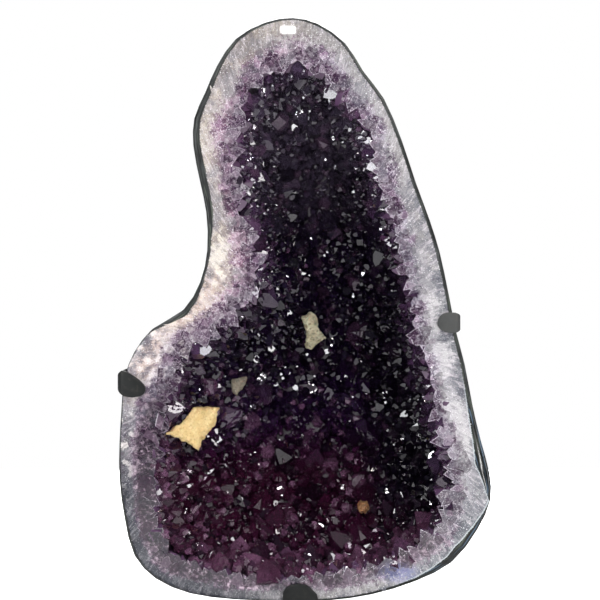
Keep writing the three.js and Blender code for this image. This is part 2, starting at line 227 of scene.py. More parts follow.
def at_angles(ring, angles):
    """The points of the ring at the given angles about the middle, found on its straight edges."""
    angle, points = turned(ring)
    full = np.append(angle, angle[0] + FULL_TURN)
    corner = np.vstack([points, points[:1]]) - MIDDLE
    turn = (angles - angle[0]) % FULL_TURN + angle[0]
    k = np.clip(np.searchsorted(full, turn, side="right") - 1, 0, len(angle) - 1)
    way = np.stack([np.sin(turn), -np.cos(turn)], axis=1)
    edge = corner[k + 1] - corner[k]
    reach = crossed(corner[k], edge) / crossed(way, edge)
    return MIDDLE + way * reach[:, None]


shell = copy_of("geode_shell", "shell_copy")
crust = copy_of("amethyst_crust", "crust_copy")
wall_ring, rim_ring = face_rings(shell.data)
print("edge of the hollow", len(wall_ring), "points; rim", len(rim_ring), "points")

# %% [markdown]
# # The stone
# The real stone has a rough dark skin, a glossy ground edge, a flat polished face and a hollow. It could be sculpted,
# but a closed sheet of rings is easier to steer: a flat grid is added, and its rows are laid on rings that run from
# the bottom of the hollow over the face and the rounded rim to the middle of the back. The rings are found with rays
# on the measured solid, so the stone keeps its size. The ground edge is as wide as the dark rind, which is thick in
# some places and almost absent in others. Lumps are then pressed into the skin, never out of it.


# %% A closed sheet laid on rings
RING_MERGE = 0.001 * MM
PARTS = 40  # distances are found part by part, to need less memory


def write_mark(mesh, key, values, domain="POINT"):
    """Keeps a number or a place on each point or face of a mesh, for the finish to read."""
    kind, field = ("FLOAT", "value") if values.ndim == 1 else ("FLOAT_VECTOR", "vector")
    mesh.attributes.new(key, kind, domain).data.foreach_set(field, values.astype(np.float32).ravel())


def closed_sheet(name, rings, **marks):
    """A closed piece through rings of points, with marks on them. Its first and last ring are single points."""
    rows, columns = rings.shape[:2]
    bpy.ops.object.select_all(action="DESELECT")
    bpy.ops.mesh.primitive_grid_add(x_subdivisions=columns, y_subdivisions=rows - 1, size=1)
    piece = bpy.context.object
    piece.name = name
    laid = np.concatenate([rings, rings[:, :1]], axis=1).reshape(-1, 3)
    piece.data.vertices.foreach_set("co", laid.astype(np.float32).ravel())
    for key, values in marks.items():
        values = np.concatenate([values, values[:, :1]], axis=1)
        write_mark(piece.data, key, values.reshape(-1, *values.shape[2:]))
    edit_all(piece)
    bpy.ops.mesh.remove_doubles(threshold=RING_MERGE)
    bpy.ops.mesh.normals_make_consistent(inside=False)
    bpy.ops.object.mode_set(mode="OBJECT")
    return piece


def distance_to(points, ring):
    """Distance of each (x, z) point from a closed ring."""
    start, step = ring[None], (np.roll(ring, -1, axis=0) - ring)[None]
    found = []
    for part in np.array_split(points.reshape(-1, 2), PARTS):
        gap = part[:, None] - start
        along = np.clip((gap * step).sum(-1) / (step * step).sum(-1), 0, 1)[..., None]
        found.append(np.linalg.norm(gap - along * step, axis=-1).min(axis=1))
    return np.concatenate(found).reshape(points.shape[:-1])


# %% Sums on places that several pieces share
TINY = 1e-12


def fade(values, start, end):
    """Goes smoothly from 0 to 1 while the values go from start to end."""
    share = np.clip((values - start) / (end - start), 0, 1)
    return share * share * (3 - 2 * share)


def unit(vectors, spare=0.0):
    """The vectors at length 1. The spare length keeps one that has no length from being divided by nothing."""
    return vectors / (np.linalg.norm(vectors, axis=-1, keepdims=True) + spare)


def sheet_normals(rings):
    """The normals at the points of a closed sheet, not yet of length 1."""
    around = np.roll(rings, -1, axis=1) - np.roll(rings, 1, axis=1)
    return np.cross(around, np.gradient(rings, axis=0))


def length_round(ring):
    """The length of a closed ring."""
    return np.linalg.norm(ring - np.roll(ring, 1, axis=0), axis=1).sum()


# %% Rings of the stone, found with rays
COLUMNS = 600
HOLLOW_ROWS = 20
FACE_ROWS = 18
RIM_ROWS = 8
SKIN_ROWS = 88
RIM_ROUND = 4 * MM
CORNER_SINK = 0.25 * RIM_ROUND
CORNER_GROWTH = 6
CLEAR_OF_STONE = 0.7
DEEP_CENTRE = np.array([45, -50, 305]) * MM
# the width of the dark rind at stations (x, z) round the rim, in millimetres
RIND = (
    (-10, 645, 2.8), (40, 628, 3.4), (72, 582, 4), (102, 502, 4), (129, 422, 4.2), (142, 362, 4), (150, 300, 4.5),
    (160, 266, 5), (168, 222, 8), (180, 192, 12), (188, 166, 6), (189, 158, 1.5), (184, 142, 4), (176, 117, 7),
    (162, 102, 9), (142, 89, 7), (117, 80, 4), (77, 70, 3), (37, 64, 2.5), (-3, 62, 2), (-53, 64, 1.5), (-103, 77, 1.5),
    (-138, 102, 2.5), (-163, 142, 3), (-178, 192, 2), (-181, 252, 1.5), (-178, 302, 1), (-164, 327, 1), (-140, 337, 4),
    (-125, 346, 6.5), (-110, 357, 5.5), (-103, 392, 3), (-96, 427, 4), (-100, 462, 7), (-109, 512, 8), (-106, 542, 7),
    (-93, 577, 6), (-78, 602, 4.5), (-53, 627, 3.6),
)
stone_tree = tree_of(shell)
crust_tree = tree_of(crust)


def sunk_origin(share):
    """Where a ray into the hollow starts: it drifts to the deep part as the rays turn to the back."""
    front = np.array([MIDDLE[0], FACE_Y, MIDDLE[1]])
    return front + (DEEP_CENTRE - front) * share


def ray_ring(tree, angles, share, outside=False):
    """The surface's points on rays that lean back by share of a right angle."""
    lean = share * math.pi / 2
    ring = []
    start = Vector((MIDDLE[0], FACE_Y + RIM_ROUND, MIDDLE[1])) if outside else Vector(sunk_origin(share))
    for angle in angles:
        way = Vector((math.sin(angle) * math.cos(lean), math.sin(lean), -math.cos(angle) * math.cos(lean)))
        place = tree.ray_cast(start + way * CLEAR_OF_STONE, -way)[0] if outside else tree.ray_cast(start, way)[0]
        ring.append(place if place is not None else ring[-1])
    return np.array(ring)


def in_face(flat_ring):
    """The (x, z) points of a ring as points in the face."""
    return np.insert(flat_ring, 1, FACE_Y, axis=1)


angles = even_angles(rim_ring, COLUMNS)[:-1]
station_turn = np.array([turned(np.array([[x, z]]) * MM)[0][0] for x, z, _ in RIND])
order = np.argsort(station_turn)
rind_width = np.interp(angles, station_turn[order], np.array(RIND)[order, 2], period=FULL_TURN)
inner, outer = in_face(at_angles(wall_ring, angles)), in_face(at_angles(rim_ring, angles))
skin = [ray_ring(stone_tree, angles, k / SKIN_ROWS, outside=True) for k in range(SKIN_ROWS + 1)]
hollow = [ray_ring(stone_tree, angles, k / HOLLOW_ROWS) for k in range(HOLLOW_ROWS, 0, -1)]
wider = np.clip(rind_width * MM - RIM_ROUND, 0, None) / np.linalg.norm(inner - outer, axis=1)
outer = outer + (inner - outer) * wider[:, None]
face = [inner + (outer - inner) * k / FACE_ROWS for k in range(FACE_ROWS + 1)]
corner = skin[0].copy()
corner[:, 1] = FACE_Y + CORNER_SINK * np.clip(wider * CORNER_GROWTH, 0, 1)
rim = []
for k in range(1, RIM_ROWS):
    t = k / RIM_ROWS
    rim.append(outer * (1 - t) ** 2 + corner * 2 * t * (1 - t) + skin[0] * t * t)
rings = np.array(hollow + face + rim + skin)
FIRST_FACE = len(hollow)
FIRST_SKIN = FIRST_FACE + len(face) + len(rim)
print("stone rings", rings.shape)

# %% Press lumps into the skin, less near the rim and under the arms
SMOOTH_EDGE = 10 * MM
ROUGH_FROM = 34 * MM
LUMP_SIZE, LUMP_DEEP = 44 * MM, 3.4
KNOB_SIZE, KNOB_DEEP, KNOB_TOP = 13 * MM, 4.2, 0.9
PIT_SIZE, PIT_DEEP = 5 * MM, 1.6
KNOB_SHAKE = 0.35
ARM_CLOSE = 1.5 * MM
ARM_HOLD = 16 * MM
arm_tree = tree_of(*(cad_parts[n] for n in ("arm_left", "arm_right", "arm_bottom", "stand_post")))


def press(place):
    """How far the skin is pressed in: wide lumps, round knobs with creases between them, and small pits."""
    lump = 0.5 - 0.5 * noise.fractal(place / LUMP_SIZE, 0.8, 2.1, 3)
    shifted = place / KNOB_SIZE + KNOB_SHAKE * noise.noise_vector(place / PIT_SIZE)
    knob = LUMP_DEEP * min(max(lump, 0), 1) + KNOB_DEEP * min(noise.voronoi(shifted)[0][0], KNOB_TOP) ** 2
    pit = 0.5 + 0.5 * noise.fractal(place / PIT_SIZE, 0.7, 2.2, 3)
    return (knob + PIT_DEEP * min(max(pit, 0), 1)) * MM


outward = unit(sheet_normals(rings), TINY)
SIDE_ROW = FIRST_SKIN + 30
outward *= np.sign((outward[SIDE_ROW] * (rings[SIDE_ROW] - sunk_origin(0))).sum())
ready = fade(rings[..., 1] - FACE_Y, SMOOTH_EDGE, ROUGH_FROM)
pressed = np.zeros(rings.shape[:2])
for row in range(FIRST_SKIN + 1, len(rings) - 1):
    for column in range(COLUMNS):
        place = Vector(rings[row, column])
        near = arm_tree.find_nearest(place, ARM_HOLD)[3]
        held = 1 if near is None else max(near - ARM_CLOSE, 0) / (ARM_HOLD - ARM_CLOSE)
        pressed[row, column] = press(place) * ready[row, column] * held
rings -= outward * pressed[..., None]
rings[-1] = rings[-2].mean(axis=0)
rings[0] = rings[0].mean(axis=0)
print("skin pressed in by up to", round(float(pressed.max() / MM), 1), "mm")

# %% [markdown]
# # Marks that the stone's finish follows
# The bands of a geode follow its outline, so the finish needs to know how far each point lies from the rim and from
# the hollow. These lengths are kept on the mesh.

# %% Keep the distances on the mesh and build the stone
FAR = 60 * MM
outline = skin[0][:, ::2]
in_front = slice(FIRST_FACE, FIRST_SKIN + 1)
from_rim = np.full(rings.shape[:2], FAR)
from_rim[in_front] = distance_to(rings[in_front][..., ::2], outline)
from_rim[FIRST_SKIN + 1 :] = -np.maximum(rings[FIRST_SKIN + 1 :][..., 1] - FACE_Y, 0)
from_hollow = np.zeros(rings.shape[:2])
from_hollow[in_front] = distance_to(rings[in_front][..., ::2], inner[:, ::2])
from_hollow[FIRST_SKIN + 1 :] = FAR
round_radius = length_round(outline) / FULL_TURN


def fibre_marks(turns, inwards):
    """A place for the fibre pattern: the way round the rim, bent into a circle without a seam, and inwards."""
    way = np.interp(turns, np.append(angles, angles[0] + FULL_TURN), np.linspace(0, FULL_TURN, COLUMNS + 1))
    return np.stack([np.cos(way) * round_radius, np.sin(way) * round_radius, inwards], axis=-1)


stone = closed_sheet(
    "geode_stone", rings,
    from_rim=from_rim / MM,
    from_hollow=from_hollow / MM,
    rind=from_rim / MM - rind_width,
    pressed=pressed / MM,
    fibre=fibre_marks(np.broadcast_to(angles, from_rim.shape), from_rim),
)
take(stone)
bpy.ops.object.shade_smooth()
finish_piece(stone, "geode_shell", "geode_shell")

# %% [markdown]
# # The bed of the crust
# The crystals stand on a bed of massive amethyst that follows the hollow's wall in gentle swells. The measured crust
# has coarse points. Its thickness is read with the same kind of rays, blurred and lowered, and a closed sheet is laid
# on it, so that the fine crystals which stand on the bed reach about as far as the coarse points do.

# %% Lay the bed over the hollow's wall
BED_COLUMNS = 420
BED_ROWS = 46
BED_SINK = 7 * MM
BED_LEAST = 1.5 * MM
BED_BACK = 0.3 * MM
THICKEST = 36 * MM
FIRST_SHARE = 0.012
LIP_BEHIND = 0.2 * MM
LIP_TEETH = 140
LIP_SHORT = (1 * MM, 5 * MM)
LIP_LONG = (7 * MM, 13 * MM)
LIP_LESS = 0.35
LIP_UNDERCUT = 1.5 * MM
LIP_DEEP = 7 * MM
LIP_ROWS = 3
SWELL_BLURS = 26


def blurred(field, times):
    """The field smoothed along the rings and across them."""
    for _ in range(times):
        field = (np.roll(field, 1, axis=1) + 2 * field + np.roll(field, -1, axis=1)) / 4
        padded = np.concatenate([field[:1], field, field[-1:]])
        field = (padded[:-2] + 2 * padded[1:-1] + padded[2:]) / 4
    return field


def less_on_right(share, places):
    """A factor below 1 where the quartz that reaches into the hollow is shorter, at the right side."""
    return 1 - share * fade(places[:, 0], 0.03, 0.07) * fade(places[:, 2], 0.2, 0.27)


bed_angles = even_angles(wall_ring, BED_COLUMNS)[:-1]
shares = np.linspace(FIRST_SHARE, 1, BED_ROWS)
wall = np.array([ray_ring(stone_tree, bed_angles, s) for s in shares])
coarse = np.array([ray_ring(crust_tree, bed_angles, s) for s in shares])
origins = np.array([sunk_origin(s) for s in shares])[:, None]
inward = unit(origins - wall)
thick = np.clip(((coarse - wall) * inward).sum(-1), 0, THICKEST)
height = np.maximum(blurred(thick, SWELL_BLURS) - BED_SINK, BED_LEAST)
bed_front = wall + inward * height[..., None]
bed_back = wall + inward * BED_BACK
lip_back = in_face(at_angles(wall_ring, bed_angles))
lip_back[:, 1] += LIP_BEHIND
flat_inward = unit(inward[0] * np.array([1, 0, 1]))
short_teeth, long_teeth = dice.uniform(*LIP_SHORT, LIP_TEETH), dice.uniform(*LIP_LONG, LIP_TEETH)
teeth = np.where(np.arange(LIP_TEETH) % 2, short_teeth, long_teeth)
tooth_at = (np.arange(LIP_TEETH) + dice.uniform(-0.3, 0.3, LIP_TEETH)) * BED_COLUMNS / LIP_TEETH
lip_width = np.interp(np.arange(BED_COLUMNS), tooth_at, teeth, period=BED_COLUMNS)
lip_width *= less_on_right(LIP_LESS, lip_back)
lip_front = lip_back + flat_inward * lip_width[:, None]
lip_under = lip_front - flat_inward * LIP_UNDERCUT
lip_under[:, 1] += LIP_DEEP
bed_front[-1] = bed_front[-1].mean(axis=0)
bed_back[-1] = bed_back[-1].mean(axis=0)
lip = [lip_back, lip_front, lip_under]
bed = closed_sheet("amethyst_bed", np.concatenate([bed_back[::-1], lip, bed_front[LIP_ROWS:]]))
print("crust", np.percentile(thick / MM, [5, 50, 95]).round(1), "mm thick, bed", (height.mean() / MM).round(1))

# %% [markdown]
# # Forms of the quartz point
# Quartz grows as a six-sided prism that ends in six sloping faces, three of them larger than the other three, so no
# two points look alike. Each form starts as a six-sided cylinder, and six planes at the slope of real quartz cut its
# top off in edit mode. A few forms are enough, since each copy gets its own size, turn and lean.

# %% Cut the forms from six-sided cylinders
FORMS = 14
FACE_SLOPE = math.radians(51.8)
PRISM_TOP = 4.0
PEAK = 2.0
WIDE_SHIFT = (-0.12, 0.06)
NARROW_SHIFT = (0.04, 0.34)


def quartz_form(number):
    """One point of unit radius with its foot at height 0, as corners and faces."""
    bpy.ops.object.select_all(action="DESELECT")
    bpy.ops.mesh.primitive_cylinder_add(vertices=6, radius=1, depth=PRISM_TOP, location=(0, 0, PRISM_TOP / 2))
    form = bpy.context.object
    level, upright = math.sin(FACE_SLOPE), math.cos(FACE_SLOPE)
    for side in range(6):
        turn = math.radians(60 * side)
        reach = PEAK + dice.uniform(*(WIDE_SHIFT if side % 2 == number % 2 else NARROW_SHIFT))
        normal = Vector((math.cos(turn) * level, math.sin(turn) * level, upright))
        edit_all(form)
        bpy.ops.mesh.bisect(plane_co=(0, 0, reach), plane_no=normal, use_fill=True, clear_outer=True)
        bpy.ops.object.mode_set(mode="OBJECT")
    corners = np.array([v.co + form.matrix_world.translation for v in form.data.vertices])
    faces = [list(f.vertices) for f in form.data.polygons]
    bpy.data.objects.remove(form)
    return corners, faces


forms = [quartz_form(n) for n in range(FORMS)]
print("faces of the forms", [len(faces) for _, faces in forms])


# %% Stand copies of the forms on given roots
SQUEEZE = (0.8, 1.12)  # makes a point wider one way than the other


def axes_frame(axis, roll):
    """Rows of a turn that points +Z along axis and rolls about it."""
    side = unit(np.cross(axis, [0.31, 0.17, 0.93] if abs(axis[0]) > 0.5 else [0.93, 0.17, 0.31]))
    other = np.cross(axis, side)
    return np.array([
        side * math.cos(roll) + other * math.sin(roll),
        other * math.cos(roll) - side * math.sin(roll),
        axis,
    ])


def stand_points(name, roots, axes, radii, stretch, marks, turns=None):
    """A mesh of quartz points, one for each root. marks are values that all of a point's faces carry.

    A point that has a turn of its own is the first form, turned by it.
    """
    corners, faces, start = [], [], 0
    count, height = [], []
    for i in range(len(roots)):
        form, form_faces = forms[dice.integers(FORMS)]
        turn = axes_frame(axes[i], dice.uniform(0, FULL_TURN))
        squeeze = np.array([*dice.uniform(*SQUEEZE, 2), stretch[i]])
        if turns and turns[i] is not None:
            (form, form_faces), turn, squeeze = forms[0], turns[i], np.ones(3)
        placed = (form * squeeze) @ turn * radii[i] + roots[i]
        corners.append(placed)
        faces += [[start + v for v in face] for face in form_faces]
        start += len(form)
        count.append(len(form_faces))
        height.append(form[:, 2] / form[:, 2].max())
    mesh = bpy.data.meshes.new(name)
    mesh.from_pydata(np.concatenate(corners).tolist(), [], faces)
    write_mark(mesh, "height", np.concatenate(height))
    for key, values in marks.items():
        write_mark(mesh, key, np.repeat(values, count), "FACE")
    return add_object(name, mesh)


# %% [markdown]
# # The crystals of the hollow
# Crystals crowd each other, so their roots are strewn at random over the bed with a least distance that follows their
# size: fine in the dark upper part, coarse in the wine-red lower part. Each leans its own way a little, and neighbours
# share some of their lean, because real clusters do. Small crystals fill the gaps between the large ones.

# %% Strew the roots over the bed
TRIES = 90000
FINE_RADIUS = 5.9 * MM
COARSE_RADIUS = 9.4 * MM
LEAST_RADIUS = 3.4 * MM
MOST_RADIUS = 14 * MM
SIZE_SPREAD = 0.36
CROWDING = 0.55
NORMAL_BLURS = 6


def wine_share(place):
    """How much a place belongs to the lower part with its coarser, redder crystals."""
    right = fade(place[..., 0], 0.05, 0.1) * fade(place[..., 2], 0.12, 0.17)
    return fade(place[..., 2], 0.34, 0.17) * (1 - right)


bed_normal = sheet_normals(bed_front)
bed_normal *= np.sign((bed_normal * inward).sum(-1, keepdims=True))
bed_normal = unit(np.stack([blurred(bed_normal[..., k], NORMAL_BLURS) for k in range(3)], axis=-1), TINY)
a, b = bed_front[:-1], np.roll(bed_front, -1, axis=1)[:-1]
c, d = bed_front[1:], np.roll(bed_front, -1, axis=1)[1:]
area = (np.linalg.norm(np.cross(b - a, c - a), axis=-1) + np.linalg.norm(np.cross(b - d, c - d), axis=-1)) / 2
print("bed area", round(float(area.sum()), 4), "m2")
chosen = dice.choice(area.size, TRIES, p=(area / area.sum()).ravel())
sides = dice.random((2, TRIES, 1))
a, b, c, d = (corner_of.reshape(-1, 3)[chosen] for corner_of in (a, b, c, d))
places = (a * (1 - sides[0]) + b * sides[0]) * (1 - sides[1]) + (c * (1 - sides[0]) + d * sides[0]) * sides[1]
way_up = bed_normal[:-1].reshape(-1, 3)[chosen]
sizes = FINE_RADIUS + (COARSE_RADIUS - FINE_RADIUS) * wine_share(places)
sizes = np.clip(sizes * np.exp(dice.normal(0, SIZE_SPREAD, TRIES)), LEAST_RADIUS, MOST_RADIUS)
kept, cells = [], {}
keys = np.floor(places / MOST_RADIUS).astype(int).tolist()
spots, widths = places.tolist(), sizes.tolist()
for t in range(TRIES):
    (x, y, z), width, (i, j, k) = spots[t], widths[t], keys[t]
    crowd = [q for l in (i - 1, i, i + 1) for m in (j - 1, j, j + 1) for n in (k - 1, k, k + 1)
             for q in cells.get((l, m, n), ())]
    if all((x - q[0]) ** 2 + (y - q[1]) ** 2 + (z - q[2]) ** 2 > (CROWDING * (width + q[3])) ** 2 for q in crowd):
        cells.setdefault((i, j, k), []).append((x, y, z, width))
        kept.append(t)
print(len(kept), "roots")

# %% Add the small crystals and lean them all
SMALL_ONES = 4600
SMALL_RADIUS = (1.3 * MM, 4.2 * MM)
SMALL_SPREAD = 1.6
SHARED_LEAN = 0.42
OWN_LEAN = 0.372
LEAN_CLUSTER = 24 * MM
small_ones = dice.choice(TRIES, SMALL_ONES, replace=False)
kept = np.concatenate([kept, small_ones])
small_sizes = SMALL_RADIUS[0] + (SMALL_RADIUS[1] - SMALL_RADIUS[0]) * dice.random(SMALL_ONES) ** SMALL_SPREAD
sizes[small_ones] = small_sizes * (1 + 0.4 * wine_share(places[small_ones]))
roots, normals, radii = places[kept], way_up[kept], sizes[kept]
is_large = np.arange(len(kept)) < len(kept) - SMALL_ONES
shared = np.array([noise.noise_vector(Vector(p) / LEAN_CLUSTER) for p in roots])
axes = unit(normals + SHARED_LEAN * shared + OWN_LEAN * dice.normal(0, 1, roots.shape))
stretch = dice.uniform(0.9, 1.2, len(roots))
print(is_large.sum(), "large and", SMALL_ONES, "small crystals")

# %% [markdown]
# # Glints, sparks and milky crystals
# A face mirrors a light into the camera when it looks halfway between the two. So a few dozen crystals, near the places
# of the largest glints, and a hundred or so small ones are turned until their widest sloping face does that. The turn
# is part of the mesh: seen from elsewhere, other crystals glint. Three milky crystals look straight at the viewer.

# %% Turn some crystals to the lights
# where the largest glints are, as x and z in the picture plane, and their crystals' radii, in millimetres
GLINTS = (
    (21, 560, 13), (-32, 412, 10), (-119, 321, 10), (-135, 271, 9), (-73, 200, 8), (-30, 477, 9), (-76, 224, 8),
    (-60, 469, 8), (57, 490, 7), (-101, 316, 5.5), (-59, 112, 4.5), (-20, 313, 5.5), (-35, 151, 5), (-35, 494, 7),
    (-141, 155, 5.5), (31, 464, 6), (24, 99, 4), (-4, 346, 5), (-15, 277, 5), (-12, 367, 6), (32, 120, 4.5),
    (-33, 248, 5.5), (-40, 291, 5.5), (-118, 282, 5.5), (-126, 176, 5.5), (0, 528, 5), (-52, 297, 5),
    (-14, 135, 4), (32, 410, 5), (-6, 272, 4.5), (67, 208, 4.5), (38, 171, 4.5), (-79, 235, 5), (24, 314, 4.5),
)
MILKY = ((-99, 110, 9.5), (-106, 168, 5), (1, 606, 6))  # in the same measures
MILKY_AXIS = (0.05, -0.95, 0.3)
GLINT_REACH = 11 * MM
GAP_COUNTS = 0.7  # a gap in the picture plane, set against how far forward a tip stands
PASSED_OVER = 9  # puts a crystal behind all others
TIP_GUESS = 1.4  # radii from the root to the tip
NEAREST = 6
SPARKS = 110
SPARK_RADIUS = (1.2 * MM, 2.4 * MM)
CLEAR_OF_TIP = 12 * MM
LIGHT_WAY = 1.0
MOST_OFF = math.radians(50)
ALONG_AXIS = 0.05


def face_normals(form, faces):
    """The unit normals of a form's faces and their areas."""
    loops = [np.cross(form[f], np.roll(form[f], -1, axis=0)).sum(axis=0) / 2 for f in faces]
    return np.array([unit(l) for l in loops]), np.array([np.linalg.norm(l) for l in loops])


def seen_near(x, z):
    """The crystals in the order of how well they are seen near a place, large ones first."""
    gap = np.linalg.norm(seen_at - np.array([x, z]) * MM, axis=1)
    return np.argsort(tips[:, 1] + gap * GAP_COUNTS + np.where((gap < GLINT_REACH) & is_large, 0, PASSED_OVER))


def mirroring_turn(tip, axis):
    """The turn that makes the widest sloping face of the first form mirror a light into the camera, or None."""
    best, least = None, MOST_OFF
    for name in MIRRORED:
        to_light = np.array(LIGHTS[name][0]) - tip
        start = tip + unit(to_light) * CLEAR_OF_TIP
        if stone_tree.ray_cast(Vector(start), Vector(to_light), LIGHT_WAY)[0] is not None:
            continue
        half = unit(unit(to_light) + unit(np.array(CAMERA_PLACE) - tip))
        rest = axis - half * (axis @ half)
        off = abs(math.acos(np.clip(axis @ half, -1, 1)) - FACE_SLOPE)
        if off < least and np.linalg.norm(rest) > ALONG_AXIS:
            least, best = off, (half, unit(rest))
    if best is None:
        return None
    half, rest = best
    up = unit(np.array([0, 0, 1]) - wide_face * wide_face[2])
    return np.array([wide_face, up, np.cross(wide_face, up)]).T @ np.array([half, rest, np.cross(half, rest)])


normals_of, areas_of = face_normals(*forms[0])
sloping = abs(normals_of[:, 2] - math.cos(FACE_SLOPE)) < 0.05
wide_face = normals_of[np.argmax(areas_of * sloping)]
tips = roots + axes * (TIP_GUESS * radii)[:, None]
away = (FACE_Y - CAMERA_PLACE[1]) / (tips[:, 1] - CAMERA_PLACE[1])
seen_at = np.array(CAMERA_PLACE)[::2] + (tips[:, ::2] - np.array(CAMERA_PLACE)[::2]) * away[:, None]
turns = [None] * len(roots)
for x, z, size in GLINTS:
    for i in seen_near(x, z)[:NEAREST]:
        turn = mirroring_turn(tips[i], axes[i]) if turns[i] is None else None
        if turn is not None:
            turns[i], axes[i], radii[i], stretch[i] = turn, turn[2], size * MM, 1
            break
sparks = np.random.default_rng(SEED + 1)
in_middle = (abs(seen_at[:, 0] - 0.03) < 0.06) & (abs(seen_at[:, 1] - 0.262) < 0.048)
at_top = seen_at[:, 1] > 0.46
for i in sparks.permutation(np.flatnonzero((in_middle | at_top) & ~is_large))[:SPARKS]:
    turns[i] = mirroring_turn(tips[i], axes[i])
    if turns[i] is not None:
        axes[i], radii[i], stretch[i] = turns[i][2], sparks.uniform(*SPARK_RADIUS), 1
glinting = np.array([turn is not None for turn in turns])
print(glinting.sum(), "crystals turned to a light")
milky = [seen_near(x, z)[0] for x, z, _ in MILKY]
for i, (_, _, size) in zip(milky, MILKY):
    axes[i], radii[i], stretch[i] = unit(np.array(MILKY_AXIS)), size * MM, 0.9

# %% Stand the crystals on the bed, all behind the cut face
ROOT_SINK = 0.75
SMALL_RISE = 2.4 * MM
TIP_HEIGHT = 2.15
LEAST_BEHIND = 0.4 * MM
NEAR_LEAST = 9 * MM
NEAR_MOST = 28 * MM
NEAR_SHAKE, WINE_SHAKE = 0.22, 0.15
GLINT_TONE, GLINT_BROAD, MILKY_TONE = 0.66, 0.1, 0.97
LOWER_TOP = 0.3
rise = np.where(is_large, -ROOT_SINK * radii, SMALL_RISE)
feet = roots + axes * rise[:, None]
tips = feet + axes * (TIP_HEIGHT * radii * stretch)[:, None]
shoulder = feet[:, 1] + axes[:, 1] * radii * stretch
reach_front = np.minimum(tips[:, 1], shoulder) - radii * np.sqrt(1 - axes[:, 1] ** 2) * 0.9
feet[:, 1] += np.maximum(FACE_Y + LEAST_BEHIND - np.minimum(reach_front, tips[:, 1]), 0)
edge_gap = distance_to(feet[:, ::2], wall_ring)
left_or_low = np.maximum(fade(feet[:, 0], 0.02, -0.06), fade(feet[:, 2], 0.14, 0.09))
near_reach = NEAR_LEAST + (NEAR_MOST - NEAR_LEAST) * left_or_low
near_shake = NEAR_SHAKE * dice.normal(0, 1, len(feet)) * (edge_gap < near_reach)
near = np.clip(fade(edge_gap, near_reach, 0) + near_shake, 0, 1)
tone = np.where(glinting, GLINT_TONE, dice.random(len(feet)))
broad = np.where(glinting, GLINT_BROAD, np.clip((radii - 4 * MM) / (8 * MM), 0, 1))
tone[milky], near[milky], broad[milky] = MILKY_TONE, 1, 0
wine = np.clip(wine_share(feet) + WINE_SHAKE * dice.normal(0, 1, len(feet)), 0, 1)
low_half = feet[:, 2] < LOWER_TOP
for name, part in (("amethyst_points_lower", low_half), ("amethyst_points_upper", ~low_half)):
    points = stand_points(name, feet[part], axes[part], radii[part], stretch[part],
                          {"tone": tone[part], "wine": wine[part], "near": near[part], "broad": broad[part]},
                          [turns[i] for i in np.flatnonzero(part)])
    finish_piece(points, "amethyst_crust", "amethyst_crust")
finish_piece(bed, "amethyst_crust", "amethyst_crust")

# %% [markdown]
# # The crystals that the saw cut
# Along the edge of the hollow the saw went through crystals that point into it. Their cut sides are polished with the
# face, and each shows a pale outline where its own skin is cut. They are strewn in rows along the edge, and each row
# is made in a few layers, so that one bisect can cut a whole layer flush without two cuts lying in one plane.

# %% Keep the distances on a piece
def keep_marks(piece):
    """Keeps the distances from the rim and the hollow's edge on a piece, negative inside the hollow."""
    at = np.array([(v.co.x, v.co.z) for v in piece.data.vertices])
    turns = turn_of(at)
    edge = at_angles(wall_ring, turns)
    inside = np.linalg.norm(at - MIDDLE, axis=1) < np.linalg.norm(edge - MIDDLE, axis=1)
    from_rim = distance_to(at, outline[::4])
    from_edge = distance_to(at, wall_ring) * np.where(inside, -1, 1)
    write_mark(piece.data, "from_rim", from_rim / MM)
    write_mark(piece.data, "from_hollow", from_edge / MM)
    write_mark(piece.data, "fibre", fibre_marks(turns, from_rim))


keep_marks(bed)
print("marks on", bed.name)

# %% Grow the rim crystals and cut them
LAYERS = 8
LAYER_STEP = 0.09 * MM
LINE_WIDTH = 0.6 * MM
CUT_CLOSE = 0.002 * MM
FLAT = 0.999
SWING = 0.42
CAP_STRETCH = (1.0, 1.55)
CAPS_LESS = 0.3
LOW_LESS = 0.25
RIM_ROWS_OF_CAPS = (
    # spacing, root outside the edge, depth, forward lean and radius, each from and to
    (6.0, 2, 12, 0.5, 4, -0.02, 0.26, 4.5, 10.5),
    (7.0, 1, 6, 7, 12, 0.0, 0.35, 4.5, 9.5),
)


def rim_row(spacing, least_out, most_out, near_by, far_by, lean_from, lean_to, small, large):
    """Roots, axes, radii and stretches of one row of crystals along the edge of the hollow."""
    count = int(length_round(wall_ring) / (spacing * MM) / LAYERS) * LAYERS
    turns = even_angles(wall_ring, count)[:-1] + dice.uniform(-0.4, 0.4, count) * FULL_TURN / count
    edge = at_angles(wall_ring, turns)
    along = at_angles(wall_ring, turns + 0.03) - at_angles(wall_ring, turns - 0.03)
    inside = unit(np.stack([-along[:, 1], along[:, 0]], axis=1))
    swing = dice.normal(0, SWING, count)
    outside = dice.uniform(least_out, most_out, (count, 1))
    inside = np.stack([inside[:, 0] * np.cos(swing) - inside[:, 1] * np.sin(swing),
                       inside[:, 0] * np.sin(swing) + inside[:, 1] * np.cos(swing)], axis=1)
    feet = in_face(edge - inside * outside * MM)
    feet[:, 1] += dice.uniform(near_by, far_by, count) * MM
    axes = unit(np.insert(inside, 1, -dice.uniform(lean_from, lean_to, count), axis=1))
    shorter = less_on_right(CAPS_LESS, feet) * (1 - LOW_LESS * fade(feet[:, 2], 0.13, 0.1))
    return feet, axes, dice.uniform(small, large, count) * MM * shorter, dice.uniform(*CAP_STRETCH, count)


def flush_faces(mesh, level):
    """Which faces lie in the plane of a cut."""
    return [abs(f.normal.y) > FLAT and abs(f.center.y - level) < 2 * CUT_CLOSE for f in mesh.polygons]


